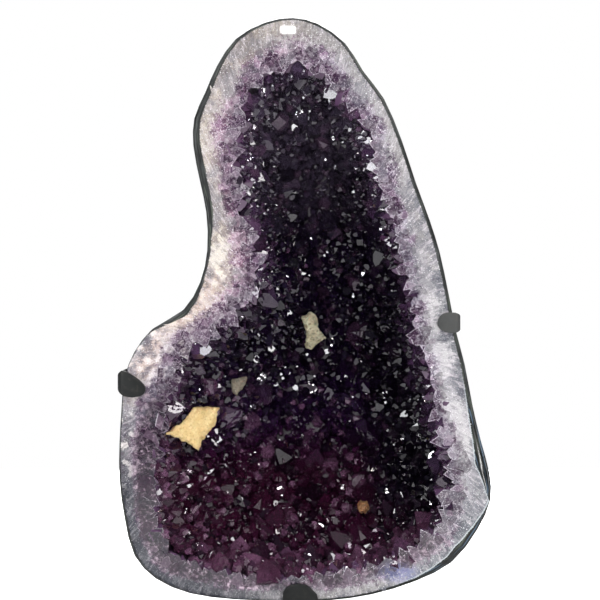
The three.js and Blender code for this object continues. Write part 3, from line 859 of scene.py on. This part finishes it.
def cut_layer(piece, level):
    """Cuts a layer of crystals flush with the face, outlines the cuts and gives their number."""
    edit_all(piece)
    bpy.ops.mesh.bisect(plane_co=(0, level, 0), plane_no=(0, -1, 0), use_fill=True, clear_outer=True,
                        threshold=CUT_CLOSE)
    bpy.ops.mesh.select_all(action="DESELECT")
    bpy.ops.object.mode_set(mode="OBJECT")
    mesh = piece.data
    mesh.polygons.foreach_set("select", flush_faces(mesh, level))
    bpy.ops.object.mode_set(mode="EDIT")
    bpy.ops.mesh.inset(thickness=LINE_WIDTH, use_even_offset=True, use_individual=True)
    bpy.ops.object.mode_set(mode="OBJECT")
    inner_cut = np.array([f.select for f in mesh.polygons])
    flush = np.array(flush_faces(mesh, level))
    edit_all(piece)
    bpy.ops.mesh.normals_make_consistent(inside=False)
    bpy.ops.object.mode_set(mode="OBJECT")
    write_mark(mesh, "cut", flush, "FACE")
    write_mark(mesh, "line", flush & ~inner_cut, "FACE")
    return int((flush & inner_cut).sum())


layers, cuts = [], 0
for number, row in enumerate(RIM_ROWS_OF_CAPS):
    feet, axes, radii, stretch = rim_row(*row)
    for layer in range(LAYERS):
        part = np.arange(layer, len(feet), LAYERS)
        piece = stand_points(f"rim_{number}_{layer}", feet[part], axes[part], radii[part], stretch[part],
                             {"tone": dice.random(len(part))})
        cuts += cut_layer(piece, FACE_Y - (number * LAYERS + layer + 1) * LAYER_STEP / 2)
        layers.append(piece)
bpy.ops.object.select_all(action="DESELECT")
for piece in layers:
    piece.select_set(True)
bpy.context.view_layer.objects.active = layers[0]
bpy.ops.object.join()
rim_points = bpy.context.object
rim_points.name = "amethyst_rim_points"
keep_marks(rim_points)
print(cuts, "cut crystals")
finish_piece(rim_points, "amethyst_crust", "amethyst_crust")

# %% [markdown]
# # The calcites
# Calcite grew on the quartz last, in blunt sugary lumps with uneven edges. A copy of each measured plate is remeshed
# into small even faces, rounded, and roughened with two clouds of different size. The modifiers are applied in order.
# The amber one is small and half hidden between crystals, so it is made a little smaller than its solid.


# %% Roughen the calcites
def cloud(name, size):
    """A soft noise for a displace modifier."""
    texture = bpy.data.textures.new(name, "CLOUDS")
    texture.noise_scale = size
    texture.noise_depth = 2
    return texture


def lay(piece, kind, **settings):
    """Adds a modifier with its settings and applies it."""
    take(piece)
    step = piece.modifiers.new(kind.lower(), kind)
    for key, value in settings.items():
        setattr(step, key, value)
    bpy.ops.object.modifier_apply(modifier=step.name)


swell, grit = cloud("swell", 6 * MM), cloud("grit", 2.2 * MM)
CALCITES = {
    # the new piece, its slot, the width of its faces, and how far the wide and the fine cloud move them, in millimetres
    "calcite_cream_large": ("calcite_cream_lump", "calcite_cream", 0.9, 4.4, 1.4),
    "calcite_cream_upper": ("calcite_pale_lump", "calcite_cream", 0.7, 5.4, 3.6),
    "calcite_grey_small": ("calcite_grey_lump", "calcite_grey", 0.6, 4.4, 2.2),
    "calcite_amber_small": ("calcite_amber_lump", "calcite_amber", 0.5, 3.2, 2.6),
}
AMBER_SHRINK = 0.86
calcites = {}
for node, (name, slot, voxel, swing, rough) in CALCITES.items():
    lump = copy_of(node, name)
    lay(lump, "REMESH", mode="VOXEL", voxel_size=voxel * MM)
    lay(lump, "SMOOTH", factor=0.5, iterations=1)
    lay(lump, "DISPLACE", texture=swell, strength=swing * MM, mid_level=0.55, texture_coords="LOCAL")
    lay(lump, "DISPLACE", texture=grit, strength=rough * MM, mid_level=0.62, texture_coords="LOCAL")
    take(lump)
    bpy.ops.object.shade_smooth_by_angle(angle=math.radians(35))
    if node == "calcite_amber_small":
        bpy.ops.object.origin_set(type="ORIGIN_GEOMETRY", center="BOUNDS")
        bpy.ops.transform.resize(value=(AMBER_SHRINK,) * 3)
        bpy.ops.object.transform_apply(location=True, rotation=True, scale=True)
    finish_piece(lump, slot, node)
    calcites[node] = lump

# %% [markdown]
# # The stand
# The arms are flat steel bars that were cut, bent and painted, so their edges are slightly round. Copies of the
# measured solids get a small bevel on every sharp edge, and their faces are shaded smooth between those edges. Each
# bar was ground narrower where it turns round the rim, so its corners there are moved towards its middle line.

# %% Round the edges of the stand
SHARP = math.radians(32)
NARROW_FROM = 8 * MM
NARROW_BY = 0.42


def narrow(steel, along, side):
    """Narrows a strap smoothly towards its outermost side, where it turns round the rim."""
    corners = np.array([v.co for v in steel.data.vertices])
    wide = 2 - along
    outermost = (corners[:, along] * side).max()
    share = np.clip(1 - (outermost - corners[:, along] * side) / NARROW_FROM, 0, 1)
    share = 1 - np.sqrt(1 - share * share)
    centre = (corners[:, wide].max() + corners[:, wide].min()) / 2
    corners[:, wide] = centre + (corners[:, wide] - centre) * (1 - NARROW_BY * share)
    steel.data.vertices.foreach_set("co", corners.astype(np.float32).ravel())
    steel.data.update()


TURNS = {"arm_left": (0, -1), "arm_right": (0, 1), "arm_bottom": (2, -1)}  # the axis and the side of each turn
EDGE_ROUND = {"arm_left": 2.1, "arm_right": 2.1, "arm_bottom": 2.1, "stand_post": 1.6, "stand_base": 1.4}
stand = []
for node, width in EDGE_ROUND.items():
    steel = copy_of(node, node.replace("arm", "bar").replace("stand_", "steel_"))
    lay(steel, "BEVEL", width=width * MM, segments=4, limit_method="ANGLE", angle_limit=SHARP)
    if node in TURNS:
        narrow(steel, *TURNS[node])
    take(steel)
    bpy.ops.object.shade_smooth_by_angle(angle=SHARP)
    finish_piece(steel, "stand_steel", node)
    stand.append(steel)

# %% [markdown]
# # Tools for finishes
# A finish is a tree of nodes. Every output is held as a Value, so masks are added and multiplied like numbers, and each
# sum puts a Math node in the tree. Colours are written as the 0 to 255 values of a colour picker, and coats of colour
# are laid over each other by their masks. The pattern that the finishes share is a node group.


# %% Values in a node tree
class Value:
    """An output of a node. Sums on it add Math nodes to its tree."""

    def __init__(self, socket):
        self.socket, self.tree = socket, socket.id_data

    def __add__(self, other):
        return calc("ADD", self, other)

    def __sub__(self, other):
        return calc("SUBTRACT", self, other)

    def __rsub__(self, other):
        return calc("SUBTRACT", other, self)

    def __mul__(self, other):
        return calc("MULTIPLY", self, other)

    def __truediv__(self, other):
        return calc("DIVIDE", self, other)

    def fade(self, start, end, low=0.0, high=1.0):
        """Goes smoothly from low to high while the value goes from start to end."""
        inputs = {"Value": self, "From Min": start, "From Max": end, "To Min": low, "To Max": high}
        return node_in(self.tree, "ShaderNodeMapRange", "Result", inputs, interpolation_type="SMOOTHSTEP")


def put(value, socket):
    """Links a Value to an input, or sets a plain value on it."""
    if isinstance(value, Value):
        socket.id_data.links.new(value.socket, socket)
    else:
        socket.default_value = value


def node_in(tree, kind, output=None, inputs=None, **settings):
    """Adds a node with its settings and inputs, and gives the output that is asked for, or else the node."""
    node = tree.nodes.new(kind)
    for key, value in settings.items():
        setattr(node, key, value)
    for key, value in (inputs or {}).items():
        put(value, node.inputs[key])
    return node if output is None else Value(node.outputs[output])


def calc(kind, *values):
    """A sum on numbers, of which at least one is a Value."""
    tree = next(v.tree for v in values if isinstance(v, Value))
    return node_in(tree, "ShaderNodeMath", 0, dict(enumerate(values)), operation=kind)


def vector(kind, *values):
    """A sum on places, of which the first is a Value. A LENGTH is a number, any other result is a place."""
    output = "Value" if kind == "LENGTH" else "Vector"
    return node_in(values[0].tree, "ShaderNodeVectorMath", output, dict(enumerate(values)), operation=kind)


def xyz(where):
    """The three coordinates of a place."""
    node = node_in(where.tree, "ShaderNodeSeparateXYZ", inputs={"Vector": where})
    return [Value(node.outputs[axis]) for axis in "XYZ"]


def mark(tree, name, output="Fac"):
    """The value that the mesh carries under a name."""
    return node_in(tree, "ShaderNodeAttribute", output, attribute_name=name)


def grain(where, scale, detail=4.0, rough=0.6, distortion=0.0):
    """Noise of a given size, from 0 to 1."""
    inputs = {"Vector": where, "Scale": scale, "Detail": detail, "Roughness": rough, "Distortion": distortion}
    return node_in(where.tree, "ShaderNodeTexNoise", "Fac", inputs)


# %% Colours, and the shader of a finish
def rgb(colour):
    """The light of a colour picker's three values. A Value, or a colour of four numbers, stays as it is."""
    if isinstance(colour, Value) or len(colour) == 4:
        return colour
    return (*(((v / 255 + 0.055) / 1.055) ** 2.4 if v > 10 else v / 255 / 12.92 for v in colour), 1)


def mix(share, a, b, kind="MIX"):
    """Colour a with a share of colour b. At least one of the three is a Value."""
    tree = next(v.tree for v in (share, a, b) if isinstance(v, Value))
    return node_in(tree, "ShaderNodeMix", 2, {0: share, 6: rgb(a), 7: rgb(b)}, data_type="RGBA", blend_type=kind)


def coats(base, *layers):
    """Lays colours over a base in turn, each as strongly as its mask says."""
    for mask, colour in layers:
        base = mix(mask, base, colour)
    return base


def finish_of(name, **constant):
    """A new finish: its tree, its principled shader and its Object coordinates."""
    material = bpy.data.materials.new(name)
    material.use_nodes = True
    tree = material.node_tree
    shader = tree.nodes["Principled BSDF"]
    feed(shader, **constant)
    return material, tree, shader, node_in(tree, "ShaderNodeTexCoord", "Object")


def feed(shader, **values):
    """Links or sets the shader's inputs."""
    for key, value in values.items():
        put(value, shader.inputs[key.replace("_", " ")])


def bump(shader, height, depth):
    """Feeds a height to the shader's normal. depth is in metres."""
    inputs = {"Height": height, "Strength": 1.0, "Distance": depth}
    feed(shader, Normal=node_in(height.tree, "ShaderNodeBump", "Normal", inputs))


# %% The shared mottle group
MOTTLE_LOW, MOTTLE_HIGH = 0.35, 0.65
FINER = 4.7
mottle = bpy.data.node_groups.new("mineral_mottle", "ShaderNodeTree")
mottle.interface.new_socket("Vector", in_out="INPUT", socket_type="NodeSocketVector")
for label, default in (("Scale", 40.0), ("Low", MOTTLE_LOW), ("High", MOTTLE_HIGH)):
    mottle.interface.new_socket(label, in_out="INPUT", socket_type="NodeSocketFloat").default_value = default
for label in ("Mask", "Fine"):
    mottle.interface.new_socket(label, in_out="OUTPUT", socket_type="NodeSocketFloat")
given = node_in(mottle, "NodeGroupInput").outputs
given_place, given_scale, given_low, given_high = (Value(given[label]) for label in ("Vector", "Scale", "Low", "High"))
wide_noise = grain(given_place, given_scale, 5.0, 0.62, 0.4)
fine_noise = grain(given_place, given_scale * FINER, 3.0, 0.6)
mottle_mask = (wide_noise * 0.7 + fine_noise * 0.3).fade(given_low, given_high)
node_in(mottle, "NodeGroupOutput", inputs={"Mask": mottle_mask, "Fine": fine_noise})


def mottled(where, scale, low=MOTTLE_LOW, high=MOTTLE_HIGH):
    """Places the mottle group in a finish, and gives its mask and its fine noise."""
    inputs = {"Vector": where, "Scale": scale, "Low": low, "High": high}
    node = node_in(where.tree, "ShaderNodeGroup", inputs=inputs, node_tree=mottle)
    return Value(node.outputs["Mask"]), Value(node.outputs["Fine"])


print("group", mottle.name, "with", len(mottle.nodes), "nodes")

# %% [markdown]
# # Finish of the stone
# From the rim inwards the polished face shows a dark rind, fibrous grey and white quartz, and then amethyst that gets
# deeper towards the hollow. The bands follow the lengths kept on the mesh, shaken by noise, and the fibres run across
# them. Iron makes the upper left warm, and dark chalcedony makes the lower left slate blue. The cut crystals along the
# edge of the hollow are the same quartz, so one function builds the bands in both finishes: first the masks of the
# places that differ, then the coats of colour from the ground colour to the flecks.


# %% The bands of the polished quartz
BLUE_PLACE = (0.096, FACE_Y, 0.089)
THINNEST_BAND = 8.0  # millimetres, so that the share stays steady where the face is narrow
CELLS = 150.0
SLATE, DARK_SLATE = (42, 45, 54), (16, 21, 29)


def quartz_bands(tree, where, fibrous=False):
    """The colour of the polished quartz at a place, and a fine noise."""
    x, _, z = xyz(where)
    from_rim, from_hollow = mark(tree, "from_rim"), mark(tree, "from_hollow")
    wide_mask, wide_fine = mottled(where, 24.0)
    cloud_mask, cloud_fine = mottled(where, 62.0, 0.4, 0.62)
    speck_fine = mottled(where, 190.0)[1]
    streak_place = vector("MULTIPLY", mark(tree, "fibre", "Vector"), (260.0, 260.0, 90.0)) if fibrous else where
    streaks = grain(streak_place, 1.0 if fibrous else 230.0, 3.0, 0.65, 0.5)

    # places that have colours of their own
    left_low = z.fade(0.3, 0.24) * x.fade(-0.08, -0.14) * from_rim.fade(7.0, 20.0)
    right_low = z.fade(0.12, 0.2) * x.fade(0.07, 0.12) * z.fade(0.42, 0.34)
    slate = z.fade(0.28, 0.17) * x.fade(0.05, -0.12)
    warm = z.fade(0.3, 0.38) * x.fade(0.03, -0.05)
    rosy = z.fade(0.24, 0.3) * x.fade(-0.06, -0.1) * z.fade(0.42, 0.37)
    pale_here = warm * wide_mask.fade(0.45, 0.75) * z.fade(0.42, 0.52, 1.0, 0.4)
    corner_grey = z.fade(0.19, 0.14) * x.fade(0.08, 0.13)
    right_side = x.fade(0.04, 0.1, 0.0, 0.6) * z.fade(0.14, 0.22)
    left_side = x.fade(-0.08, -0.13) * z.fade(0.16, 0.22) * z.fade(0.36, 0.32)
    from_blue = vector("MULTIPLY", vector("SUBTRACT", where, BLUE_PLACE), (1.0, 1.0, 1.9))
    blue = vector("LENGTH", from_blue).fade(0.027, 0.008) * cloud_fine.fade(0.25, 0.55)

    # the share of the way from the rim to the hollow, shaken by noise
    share = from_rim / calc("MAXIMUM", from_rim + from_hollow, THINNEST_BAND)
    share = share + (wide_mask - 0.5) * 0.34 + (cloud_fine - 0.5) * 0.5 + (streaks - 0.5) * 0.22
    share = share + left_low * 0.5 - right_low * 0.24
    blotch = share.fade(0.3, 0.75) * cloud_mask.fade(0.3, 0.7)

    # cut crystals in the violet part, each with its own tone and border
    cells = {"Vector": where, "Scale": CELLS}
    cell_colour = node_in(tree, "ShaderNodeTexVoronoi", "Color", cells)
    cell_tone = node_in(tree, "ShaderNodeSeparateColor", "Red", {"Color": cell_colour})
    to_border = node_in(tree, "ShaderNodeTexVoronoi", "Distance", cells, feature="DISTANCE_TO_EDGE")
    border = to_border.fade(0.07, 0.01) * speck_fine.fade(0.45, 0.56)
    sections = share.fade(0.5, 0.8)

    # the dark and pink quartz beside the hollow, at the bottom and the lower left
    low_edge = calc("MAXIMUM", left_low, z.fade(0.15, 0.11))
    near_hollow = low_edge * share.fade(0.55, 0.9)
    edge_dark = low_edge * share.fade(0.8, 1.3, 0.0, 0.85)
    patches = near_hollow * wide_fine.fade(0.48, 0.6)
    pink_here = (patches * 0.75 + 0.25) * near_hollow * cloud_fine.fade(0.5, 0.64, 0.0, 0.9) * (1.0 - edge_dark * 0.35)
    fair = (1.0 - slate * 0.64) * (1.0 - near_hollow * 0.75)

    outer = mix(slate, mix(warm, (106, 108, 111), (128, 119, 110)), DARK_SLATE)
    middle = coats(
        mix(slate, mix(warm, (137, 135, 134), (142, 133, 126)), SLATE),
        (rosy * 0.8, (196, 174, 162)),
        (pale_here * 0.85, (216, 208, 192)),
        (right_low * 0.75, (186, 184, 185)),
        (z.fade(0.58, 0.62, 0.0, 0.4), (104, 100, 96)),
        (corner_grey * 0.8, (88, 92, 98)),
    )
    lilac = mix(slate, mix(warm, (110, 96, 114), (150, 112, 130)), (60, 42, 60))
    violet = mix(slate, mix(right_side, (76, 50, 74), (126, 112, 128)), (48, 28, 46))
    band = coats(
        mix(share.fade(-0.05, 0.3), outer, middle),
        (share.fade(0.5, 0.85), mix(right_side, lilac, (148, 144, 156))),
        (share.fade(0.85, 1.15), violet),
        (share.fade(1.15, 1.5), (38, 22, 42)),
        (blotch * 0.68, (66, 44, 68)),
        (left_side * wide_fine.fade(0.5, 0.62, 0.0, 0.6), (232, 224, 220)),
        (left_side * wide_fine.fade(0.5, 0.4, 0.0, 0.55), (94, 82, 92)),
        (corner_grey * 0.5, (76, 82, 88)),
        (sections * cell_tone.fade(0.5, 0.9, 0.0, 0.7), (52, 30, 54)),
        (sections * cell_tone.fade(0.4, 0.0, 0.0, 0.42), (150, 122, 146)),
        (border * sections * 0.6, (206, 196, 206)),
        (near_hollow * cloud_mask.fade(0.0, 0.8, 0.45, 0.9), (46, 24, 44)),
        (edge_dark, (34, 18, 34)),
        (patches * share.fade(1.4, 0.9, 0.15, 0.55), (146, 128, 142)),
        (pink_here, (188, 168, 180)),
        (near_hollow * cloud_fine.fade(0.47, 0.38, 0.0, 0.85), (24, 10, 24)),
        (cloud_mask.fade(0.6, 0.2, 0.0, 0.36) * fair, (160, 157, 162)),
        (wide_mask.fade(0.5, 0.15, 0.0, 0.45), mix(slate, (84, 84, 94), (26, 30, 40))),
        (streaks.fade(0.52, 0.68, 0.0, 0.42) * fair, (200, 192, 196)),
        (streaks.fade(0.48, 0.32, 0.0, 0.42), mix(slate, (64, 60, 70), (20, 22, 30))),
        (speck_fine.fade(0.44, 0.34, 0.0, 0.3), (48, 42, 54)),
        (blue * 0.62, (92, 98, 146)),
        (speck_fine.fade(0.61, 0.68, 0.0, 0.7) * (fair - blue * 0.3), (236, 234, 236)),
    )
    return band, speck_fine


# %% Mix the stone's colours
polished, tree, shader, where = finish_of("polished_geode", IOR=1.54)
x, _, z = xyz(where)
band, speck_fine = quartz_bands(tree, where, fibrous=True)
fibre_way = mark(tree, "fibre", "Vector")
layers_and_sheen = grain(vector("MULTIPLY", fibre_way, (22.0, 22.0, 520.0)), 1.0, 2.0, 0.5, 0.2)
notches = grain(vector("MULTIPLY", fibre_way, (60.0, 60.0, 4.0)), 1.0, 2.0, 0.5)
skin_mottle, skin_fine = mottled(where, 60.0)
crust_mottle, crust_fine = mottled(where, 160.0, 0.4, 0.62)
low_right = x.fade(0.08, 0.13) * z.fade(0.3, 0.24)

# the rind, with layers that carry blue streaks of painted reflection at the lower right, and the pale line along it at
# the lower right
rind_edge = mark(tree, "rind") + (speck_fine - 0.5) * 2.4 + notches.fade(0.66, 0.72, 0.0, 5.0)
rind_here = rind_edge.fade(0.5, -0.5)
pale_line = calc("ABSOLUTE", rind_edge - 0.3).fade(0.9, 0.2)
rind_colour = coats(
    mix(skin_mottle, (14, 15, 15), (34, 36, 35)),
    # lighter layers of the rind; at the lower right they turn blue, which is painted reflection
    (layers_and_sheen.fade(0.56, 0.64, 0.0, 0.5), mix(low_right, (70, 74, 72), (84, 106, 126))),
    (layers_and_sheen.fade(0.4, 0.32, 0.0, 0.5), (84, 92, 80)),
)
face_colour = coats(band, (rind_here, rind_colour), (pale_line * low_right * 0.7, (176, 184, 186)))

# the rough skin behind the face, rusty in places, with painted shade where it is pressed in
on_skin = mark(tree, "from_rim").fade(-7.0, -22.0)
rough_skin = coats(
    mix(skin_mottle, (52, 54, 48), (84, 82, 72)),
    (grain(where, 9.0, 3.0).fade(0.52, 0.68, 0.0, 0.55), (86, 66, 48)),
    (crust_mottle * 0.5, (36, 40, 36)),
    (skin_fine.fade(0.55, 0.68) * 0.45, (132, 122, 102)),
    # painted shade in the pits and creases of the skin
    (mark(tree, "pressed").fade(4.0, 7.0), (24, 26, 23)),
)
gloss = rind_here * (0.3 - low_right * 0.2) + on_skin.fade(0.0, 1.0, 0.025, 0.6)
feed(shader, Base_Color=mix(on_skin, face_colour, rough_skin), Roughness=gloss)
bump(shader, (crust_fine + skin_fine) * on_skin, 1.6 * MM)
stone.data.materials.append(polished)

# behind the face the same finish mirrors less, as the skin is dull
DULL = 0.2
skin_finish = polished.copy()
skin_finish.name = "geode_skin"
feed(skin_finish.node_tree.nodes["Principled BSDF"], Specular_IOR_Level=DULL)
stone.data.materials.append(skin_finish)
for face_of in stone.data.polygons:
    face_of.material_index = int(face_of.center.y > FACE_Y + 0.02 * MM)
print(polished.name, "with", len(tree.nodes), "nodes")

# %% [markdown]
# # Finish of the amethyst
# Amethyst is quartz that iron has coloured violet, mostly near its tips. Light enters it, so it is partly transmitting
# with the refraction of quartz, and the depth of its colour comes from absorption. What varies from crystal to crystal
# is its tone, read from the mesh. From the top down the hollow goes from greyish through black violet to wine red, and
# its right wall is painted almost black, as painted shade. The faces of real crystals are stepped and slightly wavy,
# which breaks one glint into several, so they get a shallow wave.


# %% Mix the amethyst
QUARTZ_IOR = 1.544
RIPPLE_HEIGHT = 0.2 * MM
WAVE_HEIGHT = 0.05 * MM
BROAD_WAVE = 0.3 * MM


def amethyst(name, transmission, density, absorption):
    """A quartz finish with plain values for refraction, transmission and absorption."""
    material, tree, shader, where = finish_of(name, IOR=QUARTZ_IOR, Transmission_Weight=transmission)
    volume = node_in(tree, "ShaderNodeVolumeAbsorption", "Volume", {"Color": absorption, "Density": density})
    put(volume, tree.nodes["Material Output"].inputs["Volume"])
    wave = grain(where, 150.0, 1.0, 0.4) * (mark(tree, "broad") * BROAD_WAVE + WAVE_HEIGHT)
    rippled = calc("ABSOLUTE", mark(tree, "tone") - 0.4).fade(0.13, 0.1, 0.0, RIPPLE_HEIGHT)
    bump(shader, wave + grain(where, 260.0, 1.0, 0.4) * rippled, 1.0)
    return material, tree, shader, where


dark, tree, shader, where = amethyst("amethyst_dark", 0.55, 60.0, (0.55, 0.2, 0.66, 1))
x, _, z = xyz(where)
own_tone, wine_here = mark(tree, "tone"), mark(tree, "wine")
veil, veil_fine = mottled(where, 120.0)
# painted shade: the hollow's right wall, which the lights do not reach, is darkened in the colour
painted_shade_right = x.fade(0.04, 0.12) * z.fade(0.46, 0.4, 0.0, 0.9)
lighter = own_tone.fade(0.72, 0.98) * (veil + 0.3) * (wine_here * 0.5 + 0.22) * (1.0 - painted_shade_right)
colour = coats(
    mix(wine_here, (23, 11, 38), mix(z.fade(0.25, 0.17), (50, 22, 66), (64, 21, 46))),
    (z.fade(0.4, 0.52), (78, 68, 86)),
    (painted_shade_right, (13, 9, 18)),
    (mark(tree, "near"), mix(wine_here, (86, 60, 92), (98, 60, 84))),
    (mottled(where, 260.0, 0.4, 0.6)[0] * 0.5, mix(wine_here, (22, 14, 30), (38, 16, 32))),
    (own_tone.fade(0.35, 0.05, 0.0, 0.75), (14, 9, 20)),
    (lighter, (154, 108, 142)),
)
roughness = own_tone.fade(0.84, 0.9, 0.01, 0.1) + veil_fine.fade(0.5, 0.7, 0.0, 0.05)
feed(shader, Base_Color=colour, Roughness=roughness)
for name in ("amethyst_points_lower", "amethyst_points_upper"):
    bpy.data.objects[name].data.materials.append(dark)
print(dark.name, "with", len(tree.nodes), "nodes")

# %% [markdown]
# # Finishes of the cut crystals and the bed
# Where the saw cut a crystal, it shows the bands of the polished quartz, mixed with a tone of its own and outlined in
# white, most clearly towards its tip and on the right side. Its uncut sides are violet and darker at the tip. The bed
# between the crystals is nearly black, and only its lip in the cut face shows the bands.

# %% Mix the finishes of the rim and the bed
pale, tree, shader, where = amethyst("amethyst_pale", 0.3, 30.0, (0.6, 0.4, 0.68, 1))
own_tone, tall = mark(tree, "tone"), mark(tree, "height")
veil_fine = mottled(where, 110.0)[1]
patchy = mottled(where, 64.0)[1].fade(0.4, 0.58, 1.0, 0.25)
side_colour = coats(mix(tall, (116, 92, 116), (72, 46, 74)), (own_tone * 0.6, (54, 34, 56)))
cut_colour = coats(
    quartz_bands(tree, where)[0],
    (own_tone.fade(0.6, 0.05, 0.0, 0.85) * patchy, (54, 30, 52)),
    (own_tone.fade(0.8, 1.0, 0.0, 0.3), (150, 124, 146)),
)
outline_here = mark(tree, "line") * tall.fade(0.35, 0.75) * veil_fine.fade(0.4, 0.56)
outline_here = outline_here * xyz(where)[0].fade(-0.08, 0.08, 0.3, 0.9)
colour = coats(side_colour, (mark(tree, "cut"), cut_colour), (outline_here, (206, 200, 208)))
feed(shader, Base_Color=colour, Roughness=veil_fine.fade(0.45, 0.7, 0.03, 0.18))
rim_points.data.materials.append(pale)

bed_finish, tree, shader, where = finish_of("amethyst_bed", IOR=QUARTZ_IOR, Roughness=0.3)
veil, veil_fine = mottled(where, 90.0)
in_cut_face = xyz(where)[1].fade(FACE_Y + 1.5 * MM, FACE_Y + 0.5 * MM)
colour = mix(in_cut_face, mix(veil, (14, 10, 18), (36, 20, 36)), quartz_bands(tree, where)[0])
feed(shader, Base_Color=colour)
bump(shader, veil_fine, 0.6 * MM)
bed.data.materials.append(bed_finish)
print(pale.name, bed_finish.name)

# %% [markdown]
# # Finishes of the calcite and the steel
# Calcite is milky and sugary: warm light spreads in it, and it has hardly any gloss. Its darker patches and stains are
# partly painted shade for the shadows of its relief. The steel has satin black paint with smudges and a little dust.
# The right arm is painted a lighter grey, which is painted light where it catches more light.


# %% Mix the calcites and the paint
def calcite(name, light, dark_side, stain_and_shade):
    """A sugary calcite finish."""
    material, _, shader, where = finish_of(name, IOR=1.56, Roughness=0.62, Subsurface_Weight=0.15,
                                           Subsurface_Scale=0.004)
    patch, patch_fine = mottled(where, 85.0)
    sugar, sugar_fine = mottled(where, 420.0)
    # the stains are partly painted shade, standing in for the shadows of the relief
    colour = coats(dark_side, (patch, light), (patch_fine.fade(0.5, 0.62) * 0.8, stain_and_shade))
    feed(shader, Base_Color=mix(sugar * 0.3, colour, (255, 255, 255), "SOFT_LIGHT"))
    bump(shader, sugar_fine, 0.5 * MM)
    return material


# each finish with its light colour, its darker ground and its stains, the stains partly painted shade
CALCITE_COLOURS = {
    "calcite_cream_large": ("calcite_golden", (214, 190, 136), (196, 164, 108), (178, 146, 92)),
    "calcite_cream_upper": ("calcite_greenish", (186, 178, 150), (140, 132, 106), (84, 78, 58)),
    "calcite_grey_small": ("calcite_grey", (128, 120, 104), (98, 90, 76), (72, 66, 54)),
    "calcite_amber_small": ("calcite_amber", (120, 82, 44), (92, 58, 28), (64, 40, 22)),
}
for node, colours in CALCITE_COLOURS.items():
    calcites[node].data.materials.append(calcite(*colours))

paint, tree, shader, where = finish_of("satin_black_paint", IOR=1.5, Specular_IOR_Level=0.22)
smudge, smudge_fine = mottled(where, 34.0)
colour = coats(
    # painted light: the right arm is painted a lighter grey, where more light falls on it
    mix(xyz(where)[0].fade(0.08, 0.14), (15, 17, 16), (60, 61, 60)),
    (smudge * 0.4, (30, 32, 31)),
    (smudge_fine.fade(0.5, 0.75) * 0.12, (96, 90, 80)),
)
feed(shader, Base_Color=colour, Roughness=smudge_fine.fade(0.3, 0.7, 0.42, 0.52))
bump(shader, grain(where, 900.0, 2.0), 0.05 * MM)
for steel in stand:
    steel.data.materials.append(paint)
print("finishes", [m.name for m in bpy.data.materials])

# %% [markdown]
# # Floor and light
# The pale floor turns white towards its edge, but only for the camera, so that it lights nothing and no edge shows. The
# sixteen windows and lamps that were placed first are made here, and two more: a small lamp whose mirror image is the
# white patch at the top of the polished face, and a light behind the stone for its back.

# %% Set the floor and the surround
FLOOR_SIZE = 3.6
SURROUND = (0.126, 0.12, 0.158, 1)
bpy.ops.object.select_all(action="DESELECT")
bpy.ops.mesh.primitive_plane_add(size=FLOOR_SIZE, location=(0, -0.2, 0))
floor = bpy.context.object
floor.name = "floor"
floor_finish, tree, shader, where = finish_of("pale_floor", Roughness=0.7, Emission_Strength=1.0)
fading = node_in(tree, "ShaderNodeLightPath", "Is Camera Ray") * vector("LENGTH", where).fade(0.55, 1.35)
feed(shader, Base_Color=mix(grain(where, 6.0), (236, 236, 235), (242, 242, 241)),
     Emission_Color=mix(fading, (0, 0, 0), (255, 255, 255)))
floor.data.materials.append(floor_finish)

surround = bpy.data.worlds.new("surround")
bpy.context.scene.world = surround
surround.use_nodes = True
tree = surround.node_tree
seen = node_in(tree, "ShaderNodeLightPath", "Is Camera Ray")
put(mix(seen, SURROUND, (255, 255, 255)), tree.nodes["Background"].inputs["Color"])
print("floor", FLOOR_SIZE, "m wide")

# %% Make the lights
STONE_CENTRE = (0, -0.05, 0.35)
# place, target, width and height in metres, power in watts
LAMP_MIRRORED = ((-0.027, -1.62, 0.906), (-0.015, FACE_Y, 0.634), 0.03, 0.014, 0.045)
LIGHT_BEHIND = ((0.1, 1.5, 1.6), (0, 0.45, 0), 1.4, 0.9, 90)


def soft_light(name, place, target, wide, tall, power, colour=WHITE):
    """A rectangular light that looks at a target."""
    data = bpy.data.lights.new(name, "AREA")
    data.shape = "RECTANGLE"
    data.size, data.size_y = wide, tall
    data.energy, data.color = power, colour
    light = add_object(name, data)
    light.location = place
    light.rotation_euler = (Vector(target) - Vector(place)).to_track_quat("-Z", "Y").to_euler()


for name, (place, *light) in LIGHTS.items():
    soft_light(name, place, STONE_CENTRE, *light)
soft_light("lamp", *LAMP_MIRRORED)
soft_light("behind", *LIGHT_BEHIND)
print(len(bpy.data.lights), "lights")

# %% [markdown]
# Colours of the picture
# The standard view keeps white paper white, and the spare copies of the measured stone and crust are removed.

# %% Set the view and remove the spare copies
bpy.context.scene.view_settings.view_transform = "Standard"
for spare in (shell, crust):
    bpy.data.objects.remove(spare)
bpy.ops.object.select_all(action="DESELECT")
